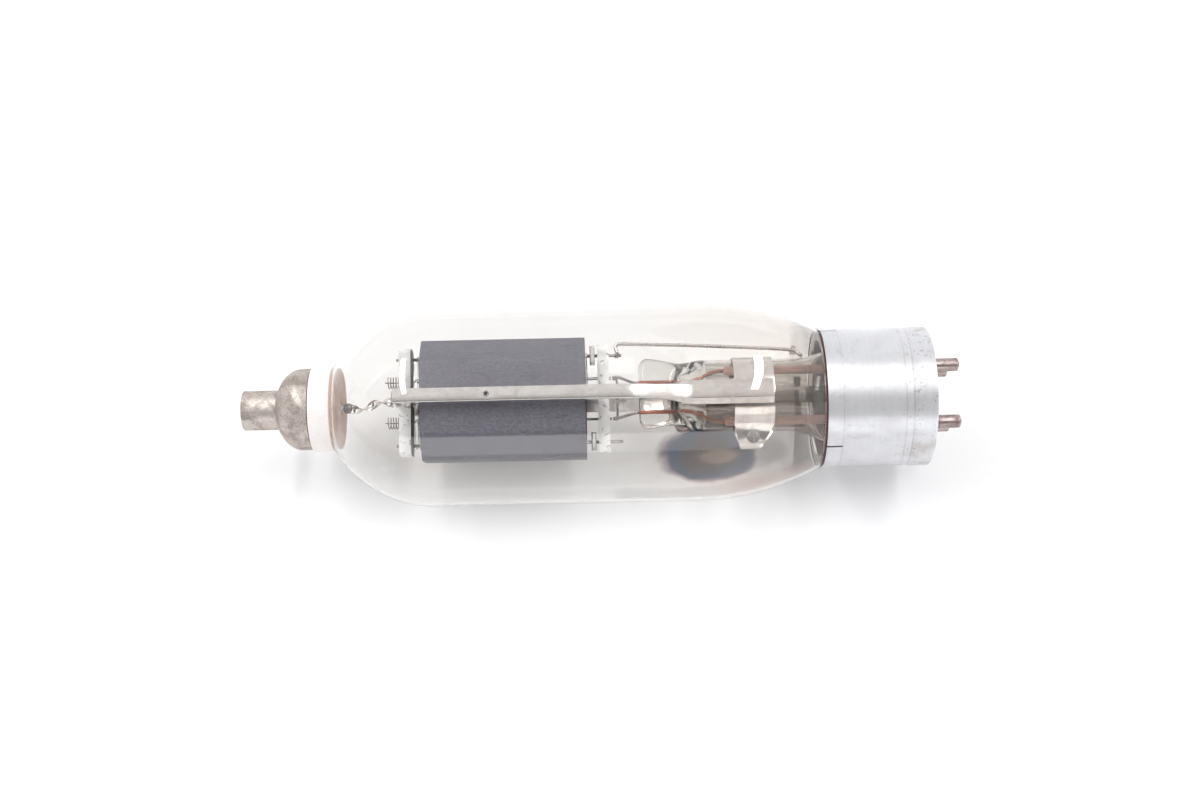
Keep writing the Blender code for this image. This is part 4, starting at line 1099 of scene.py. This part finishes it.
def anode_ribbon():
    """Twisted strip between the yoke and the lead rod."""
    low, high = extent("anode_ribbon")
    rows = []
    steps = 90
    half = 1.65
    for step in range(steps + 1):
        part = step / steps
        twist = math.radians(60 + 430 * part)
        sway = -CAGE_RISE * part + 0.9 * math.sin(2 * math.pi * part)
        across = Vector((math.cos(twist) * half, math.sin(twist) * half, 0.0))
        centre = Vector((0.0, sway, low.z + (high.z - low.z) * part))
        rows.append([centre + across * share for share in (-1.0, -0.33, 0.33, 1.0)])
    sheet("twisted_ribbon", rows, 0.25, ("anode_ribbon",))


# ---- Cage --------------------


def channel_ring(front, station, face, leg, depth, sheet, sign):
    """Section of a channel: a flat face with two splayed legs, as a closed outline with soft folds."""
    outline = [(front - depth, -leg, 0.1), (front, -face, 0.5), (front, face, 0.5), (front - depth, leg, 0.1)]
    slope = math.hypot(depth, leg - face)
    shift = sheet * slope / depth
    inner = [(front - depth, leg - shift, 0.1), (front - sheet, face - shift * 0.45, 0.25)]
    inner += [(front - sheet, -face + shift * 0.45, 0.25), (front - depth, -leg + shift, 0.1)]
    return [(sign * x, y, station) for x, y in filleted(outline + inner, 4)]


def support_bar(node, sign):
    """Channel that runs beside the stem, bends outwards and carries the anode."""
    low, high = extent(node)
    outermost = max(abs(low.x), abs(high.x))
    leg_foot, leg_top = 4.5, 2.62
    bend_low, bend_high = 85.7, 107.5
    run = bend_high - bend_low
    keys = [(low.z, BAR_AT_STEM, leg_foot), (78.0, BAR_AT_STEM, leg_foot)]
    keys += [(bend_low - 1.5, BAR_AT_STEM, leg_foot - 0.15)]
    for part in (0.08, 0.35, 0.65, 0.92):
        leg = leg_foot - (leg_foot - leg_top) * min(part / 0.4, 1.0)
        keys.append((bend_low + run * part, BAR_AT_STEM + (outermost - BAR_AT_STEM) * part, leg))
    keys += [(bend_high + 1.5, outermost - 0.02, leg_top), (130.0, outermost - 0.02, leg_top)]
    keys += [(150.0, outermost, leg_top), (165.0, outermost - 0.03, leg_top), (high.z, outermost, leg_top)]
    rings = [channel_ring(front, station, 2.45, leg, 2.0, 0.42, sign) for station, front, leg in keys]
    bar = place_body(node + "_channel", loft_body(rings), CAGE, "bright_nickel", (node,), 28.0)
    at = centre_of("front_anode_stud" if sign > 0 else "rear_anode_stud").z
    hole = rod_mesh((sign * (outermost - 3), 0, at), (sign * (outermost + 3), 0, at), 0.75)
    cut_out(bar, [hole], CAGE, 28.0)


def anode_stud(node, sign):
    """Hollow rivet whose flared end shows as a ring round the hole in the bar."""
    low, high = extent(node)
    start = min(abs(low.x), abs(high.x))
    length = abs(high.x - low.x)
    end = extent("front_bar")[1].x - start + 0.12
    profile = [(0.62, end + 0.05, 0.1), (1.15, end + 0.05, 0.1), (1.1, end - 0.1, 0.1), (0.72, end - 0.12)]
    profile += [(0.72, length, 0.1), (1.5, length, 0.15), (1.5, 0.0, 0.15), (0.62, 0.0, 0.1)]
    place = Matrix.Translation((sign * start, 0.0, centre_of(node).z))
    basis = CAGE @ place @ Matrix.Rotation(math.radians(90 * sign), 4, "Y")
    lathe(node + "_rivet", filleted(profile), basis, "molybdenum", (node,), 40)


def top_yoke():
    """Strap across the cap end of the cage, folded down at both ends."""
    low, high = extent("top_yoke")
    reach = high.x - 0.22
    across = high.z - 0.22
    path = filleted([(reach, low.z), (reach, across, 1.6), (-reach, across, 1.6), (-reach, low.z)], 6, False)
    rows = [[(x, -1.75, z), (x, 1.75, z)] for x, z in path]
    hole = ((0, 0, across - 3), (0, 0, across + 3), 1.1)
    sheet("cage_yoke", rows, SHEET, ("top_yoke",), [hole])


def yoke_rivet():
    """Rivet through the strap, headed under the spacer."""
    low, high = extent("yoke_rivet")
    head = high.z - 0.9
    under = extent("cap_side_spacer")[0].z - 0.3
    profile = [(0.0, high.z), (1.2, high.z - 0.1, 0.4), (2.0, head, 0.15), (0.9, head), (0.9, under)]
    profile += [(1.6, under, 0.1), (1.4, low.z, 0.3), (0.0, low.z)]
    turned("cage_rivet", profile, CAGE, "bright_nickel", ("yoke_rivet",), 32)


def stem_band():
    """Strip clamped round the stem; its ends turn down into tapered ears."""
    low, high = extent("stem_band")
    ear_end = low.y
    rear = EAR_FRONT - 1.2
    ring = arc((0, 0), high.y - SHEET / 2, -52.0, 288.0, 72)
    path = [(EAR_FRONT + 0.35, ear_end), (EAR_FRONT + 0.1, ear_end + 1.2), (EAR_FRONT, ear_end + 2.6)]
    path += [(EAR_FRONT, -15.0), (EAR_FRONT + 0.2, -13.6), (EAR_FRONT + 0.75, -12.5), *ring]
    path += [(rear - 0.6, -13.4), (rear, -14.4), (rear, ear_end)]
    taper = [1.0, 0.84, 0.68, 0.40, 0.24, 0.1, *[0.0] * len(ring), 0.05, 0.14, 1.0]
    rows = []
    for (x, y), share in zip(path, taper):
        rows.append([(x, y, low.z + share * 5.2), (x, y, high.z - share * 2.0)])
    screw = centre_of("band_screw")
    hole = ((EAR_FRONT - 3, screw.y, screw.z), (EAR_FRONT + 3, screw.y, screw.z), 1.25)
    sheet("clamp_band", rows, SHEET, ("stem_band",), [hole])


def screw_head():
    """Two halves of a cheese head, one on each side of the slot."""
    body = bmesh.new()
    half = math.degrees(math.acos(SLOT_HALF / SCREW_RADIUS))
    outline = arc((0, 0), SCREW_RADIUS, -half, half, 16)
    for sign in (1, -1):
        rings = []
        for inset, level in ((0.0, 0.0), (0.0, 1.2), (0.12, 1.42), (0.35, 1.5)):
            shrink = 1 - inset / SCREW_RADIUS
            rings.append([(sign * max(x * shrink, SLOT_HALF), sign * y * shrink, level) for x, y in outline])
        part = mesh_of(loft_body(rings), "half")
        body.from_mesh(part)
        bpy.data.meshes.remove(part)
    return body


def band_screw():
    """Cheese-head screw with a slot, its nut behind the ears."""
    low, high = extent("band_screw")
    screw = centre_of("band_screw")
    head = high.x - 1.5
    turn = Matrix.Rotation(math.radians(90), 4, "Y")
    basis = CAGE @ Matrix.Translation((head, screw.y, screw.z)) @ turn
    profile = [(0.0, 0.85), (1.9, 0.85), (1.9, 0.75), (0.0, 0.75)]
    lathe("screw_slot_floor", profile, basis, "molybdenum", (), 32, False)
    place_body("screw_head", screw_head(), basis, "tungsten", (), 30.0)
    end = low.x - head
    shank = [(0.0, 0.72), (2.15, 0.72, 0.1), (SCREW_RADIUS, 0.05, 0.1), (1.0, 0.0)]
    shank += [(1.0, end, 0.2), (0.0, end)]
    turned("screw_shank", shank, basis, "molybdenum", ("band_screw",), 32, 4)
    low, high = extent("band_nut")
    nut_basis = CAGE @ Matrix.Translation((low.x, screw.y, screw.z)) @ turn
    outlines = [circle((0, 0), 2.0, 6), circle((0, 0), 1.05, 24)]
    plate("clamp_nut", outlines, (0.0, high.x - low.x), "bright_nickel", ("band_nut",), 0.15, nut_basis)


def spacer(node, holes):
    """Ceramic plate; the face towards the anode is painted dark, as painted shade with some soot from the
    anode.
    """
    low, high = extent(node)
    outlines = [rectangle(low, high, 3.2, 10), *holes]
    piece = plate(node + "_plate", outlines, (low.z, high.z), "bare_ceramic", (node,), 0.35)
    piece.data.materials.append(FINISHES["soot_and_shade_ceramic"])
    anode_side = 1.0 if middle(node).x < middle("anode").x else -1.0
    # Painted shade with some soot: faces towards the anode take the dark finish.
    for face in piece.data.polygons:
        if face.normal.x * anode_side > 0.7:
            face.material_index = 1


def filament_spread():
    """How far each leg of a hairpin stands from the middle."""
    return extent("filament_upper")[1].x - 0.25


def spacers():
    rod_side = centre_of("grid_rod_upper").y
    strand = centre_of("filament_upper").y
    spread = filament_spread()
    rods = [circle((0, side * rod_side), 0.75, 24) for side in (1, -1)]
    hooks = [circle((0, side * strand), 0.6, 20) for side in (1, -1)]
    spacer("cap_side_spacer", [*rods, *hooks, circle((0, 0), 1.1, 24)])
    legs = []
    for side in (1, -1):
        for depth in (1, -1):
            legs.append(circle((depth * spread, side * strand), 0.45, 20))
    spacer("base_side_spacer", [*rods, *legs])


def anode():
    """Eight-sided graphite block with an oval bore."""
    low, high = extent("anode")
    face = 13.0
    side = 7.0
    corners = [(high.x, -face), (high.x, face), (side, high.y), (-side, high.y)]
    corners += [(low.x, face), (low.x, -face), (-side, low.y), (side, low.y)]
    edge = filleted([(*corner, 2.4) for corner in corners], 10)
    bore = [(11.5 * x, 18.2 * y) for x, y in circle((0, 0), 1.0, 96)]
    plate("graphite_anode", [edge, bore], (low.z, high.z), "graphite", ("anode",), 0.5)


def grid():
    """Oval helix wound on two side rods, each held by a collar."""
    low, high = extent("grid_helix")
    radii = ((high.x - low.x) / 2 - 0.1, (high.y - low.y) / 2 - 0.1)
    turns = (high.z - low.z) / GRID_PITCH
    path = coil((0.0, 0.0, low.z), radii, GRID_PITCH, turns, 40)
    wire("wound_grid", path, 0.11, "molybdenum", ("grid_helix",), 6)
    for label in ("upper", "lower"):
        node = "grid_rod_" + label
        low, high = extent(node)
        side = centre_of(node).y
        radius = (high.x - low.x) / 2
        length = [(0, side, low.z), (0, side, (low.z + high.z) / 2), (0, side, high.z)]
        wire("side_rod_" + label, length, radius, "molybdenum", (node,), 20)
        node = "grid_collar_" + label
        low, high = extent(node)
        outlines = [rectangle(low, high, 0.6, 5), circle((0, side), radius + 0.05, 24)]
        plate("rod_collar_" + label, outlines, (low.z, high.z), "bright_nickel", (node,), 0.2)


def grid_lead():
    """Rod from the grid to its seal, bent up and over from a wrap on the side rod's end."""
    foot = extent("grid_lead")[0].z
    path = [(16.6, 111.3), (17.9, 111.6), (19.1, 111.75), (19.7, 111.0), (19.85, 109.6), (19.4, 98.0)]
    path += [(18.8, 84.0), (17.6, 64.0), (16.6, 49.5), (15.6, 46.6), (14.0, foot)]
    path = smooth_path([(0, side, station) for side, station in path], 5)
    wire("grid_feed", path, 0.66, "lead_metal", ("grid_lead",), 18)
    start = (0.0, centre_of("grid_rod_upper").y, extent("grid_rod_upper")[0].z + 0.9)
    wire("rod_wrap", coil(start, (0.85, 0.85), 0.75, 1.9, 24), 0.26, "molybdenum", (), 10)


def filaments():
    """Hairpins, each hung from a hook and spring, with a rod up from its seal; a bridge joins them."""
    spread = filament_spread()
    press_top = extent("glass_stem")[1].z
    bend = 140.0
    for label, sign in (("upper", 1), ("lower", -1)):
        node = "filament_" + label
        low, high = extent(node)
        side = (low.y + high.y) / 2
        strand = [(spread, side, low.z), (spread, side, bend)]
        strand += [(x, side, z) for x, z in arc((0.0, high.z - spread), spread, 0.0, 180.0, 16)]
        strand += [(-spread, side, bend), (-spread, side, low.z)]
        wire("hairpin_" + label, strand, 0.22, "tungsten", (node,), 12)

        node = "filament_hook_" + label
        low, high = extent(node)
        tip = high.z - 0.28
        hook = [(1.9, side, tip), (0.5, side, tip), (0, side, high.z - 0.8), (0, side, 190.0)]
        hook += [(0, side, 185.4), (0, side + 0.95, 184.2), (0, side + 0.95, 183.2), (0, side, low.z + 0.3)]
        hook += [(0, side - 0.8, low.z + 0.8)]
        wire("hook_" + label, smooth_path(hook, 5), 0.24, "molybdenum", (node,), 10)

        node = "filament_spring_" + label
        low, high = extent(node)
        radius = (high.x - low.x) / 2 - 0.14
        pitch = (high.z - low.z - 0.28) / SPRING_TURNS
        spring = coil((0.0, side, low.z + 0.14), (radius, radius), pitch, SPRING_TURNS, 28)
        wire("spring_" + label, spring, 0.17, "tungsten", (node,), 8)

        node = "filament_rod_" + label
        low, high = extent(node)
        seal = sign * SEAL_SIDE
        rod = [(0, seal, low.z), (0, sign * 5.7, 106.0), (spread, side, 111.0), (spread, side, high.z)]
        wire("strand_rod_" + label, smooth_path(rod, 7), 0.52, "molybdenum", (node,), 18)

        node = "seal_wire_" + label
        path = [(0, seal, extent(node)[0].z), (0, seal, 96.0), (0, seal, press_top + 0.2)]
        wire("press_seal_" + label, path, 0.66, "copper_wire", (node,), 16)
    low, high = extent("filament_bridge")
    half = (high.y - low.y) / 2 - 0.4
    near = [(half, high.z), (half, low.z + 1.0), (half - 1.0, low.z + 0.4)]
    bridge_path = [(-spread, -y, z) for y, z in near] + [(-spread, y, z) for y, z in reversed(near)]
    wire("strand_bridge", smooth_path(bridge_path, 5), 0.4, "molybdenum", ("filament_bridge",), 12)


def getter():
    """Cup on a bent stalk behind the stem, open towards the bulb's wall."""
    centre = centre_of("getter_cup")
    facing = Vector((-0.75, -0.55, -0.35)).normalized()
    basis = CAGE @ Matrix.Translation(centre) @ facing.to_track_quat("Z", "Y").to_matrix().to_4x4()
    profile = [(0.0, -0.6), (3.1, -0.6, 0.5), (3.2, 1.0, 0.15), (3.6, 1.0, 0.15), (3.6, -1.0, 0.5)]
    turned("getter_holder", [*profile, (0.0, -1.0)], basis, "getter_metal", ("getter_cup",))
    low, high = extent("getter_wire")
    start = Vector((low.x + 0.5, high.y - 0.4, low.z + 0.2))
    back = centre - facing * 1.1
    bend = start.lerp(back, 0.5) + Vector((1.2, 0.8, 0.0))
    wire("getter_stalk", smooth_path([start, bend, back], 8), 0.35, "bright_nickel", ("getter_wire",), 12)


glass_bulb()
getter_film()
dark_collar()
stem_painted_reflection()
glass_stem()
exhaust_tube()
grid_lead_bead()
base_shell()
base_cement()
base_wafer()
base_pins()
bayonet_pin()
pin_wires()
cap_ring()
ring_cement()
neck_haze()
cap_shell()
cap_cement()
anode_lead()
anode_ribbon()
support_bar("front_bar", 1)
support_bar("rear_bar", -1)
anode_stud("front_anode_stud", 1)
anode_stud("rear_anode_stud", -1)
top_yoke()
yoke_rivet()
stem_band()
band_screw()
spacers()
anode()
grid()
grid_lead()
filaments()
getter()


# ---- Floor, light and camera --------------------


def floor():
    body = bmesh.new()
    bmesh.ops.create_grid(body, x_segments=24, y_segments=24, size=3.0)
    mesh = mesh_of(body, "floor")
    mesh.materials.append(FINISHES["white_floor"])
    ground = add_object("floor", mesh)
    ground.location.z = cad_box[0].z


def softbox(name, place, size, radiance):
    """Rectangular lamp aimed at the tube; its long side lies along Y."""
    lamp = bpy.data.lights.new(name, "AREA")
    lamp.shape = "RECTANGLE"
    lamp.size, lamp.size_y = size
    lamp.energy = radiance * math.pi * size[0] * size[1]
    holder = add_object(name, lamp)
    holder.location = place
    aim = Vector((0.0, 0.0, AXIS_Z)) - Vector(place)
    across = aim.cross(Vector((0.0, 1.0, 0.0))).normalized()
    along = across.cross(aim).normalized()
    holder.rotation_euler = Matrix((across, along, -aim.normalized())).transposed().to_euler()


def sky(bright, low, dim):
    """Bright ceiling and walls, with the dim room behind the camera and a pale sheet low in front."""
    world = bpy.data.worlds.new("studio")
    bpy.context.scene.world = world
    world.use_nodes = True
    tree = world.node_tree
    x, y, z = axes_of(tree, tree.nodes.new("ShaderNodeTexCoord").outputs["Generated"])
    elevation = z.maths("ARCTAN2", y * -1.0)
    above = elevation.fit(math.radians(20), math.radians(24))
    below = elevation.fit(math.radians(56), math.radians(72), 1.0, 0.0)
    between = abs(x).fit(0.35, 0.70, 1.0, 0.0)
    room = above * below * between
    sheet = above.fit(0.0, 1.0, 1.0, 0.0) * between
    strength = room.fit(0.0, 1.0, bright, dim) + sheet.fit(0.0, 1.0, 0.0, low - bright)
    background = tree.nodes["Background"]
    background.inputs["Color"].default_value = (0.985, 0.99, 1.0, 1.0)
    feed(tree, background.inputs["Strength"], strength)


def camera():
    back = Vector((0.0, -math.cos(CAMERA_ELEVATION), math.sin(CAMERA_ELEVATION)))
    up = Vector((0.0, math.sin(CAMERA_ELEVATION), math.cos(CAMERA_ELEVATION)))
    data = bpy.data.cameras.new("camera")
    data.lens = CAMERA_LENS
    data.clip_start = 0.01
    holder = add_object("camera", data)
    holder.location = Vector((AIM_X, 0.0, AXIS_Z)) + up * AIM_RISE + back * CAMERA_DISTANCE
    turn = back.to_track_quat("Z", "Y").to_matrix().to_4x4() @ Matrix.Rotation(CAMERA_ROLL, 4, "Z")
    holder.rotation_euler = turn.to_euler()
    bpy.context.scene.camera = holder


floor()
softbox("right_softbox", (0.575, 0.04, 1.03), (0.072, 0.80), 19.0)
softbox("left_softbox", (-0.56, 0.10, 1.03), (0.085, 0.80), 19.0)
sky(1.03, 1.9, 0.15)
camera()
bpy.context.scene.view_settings.view_transform = "Standard"
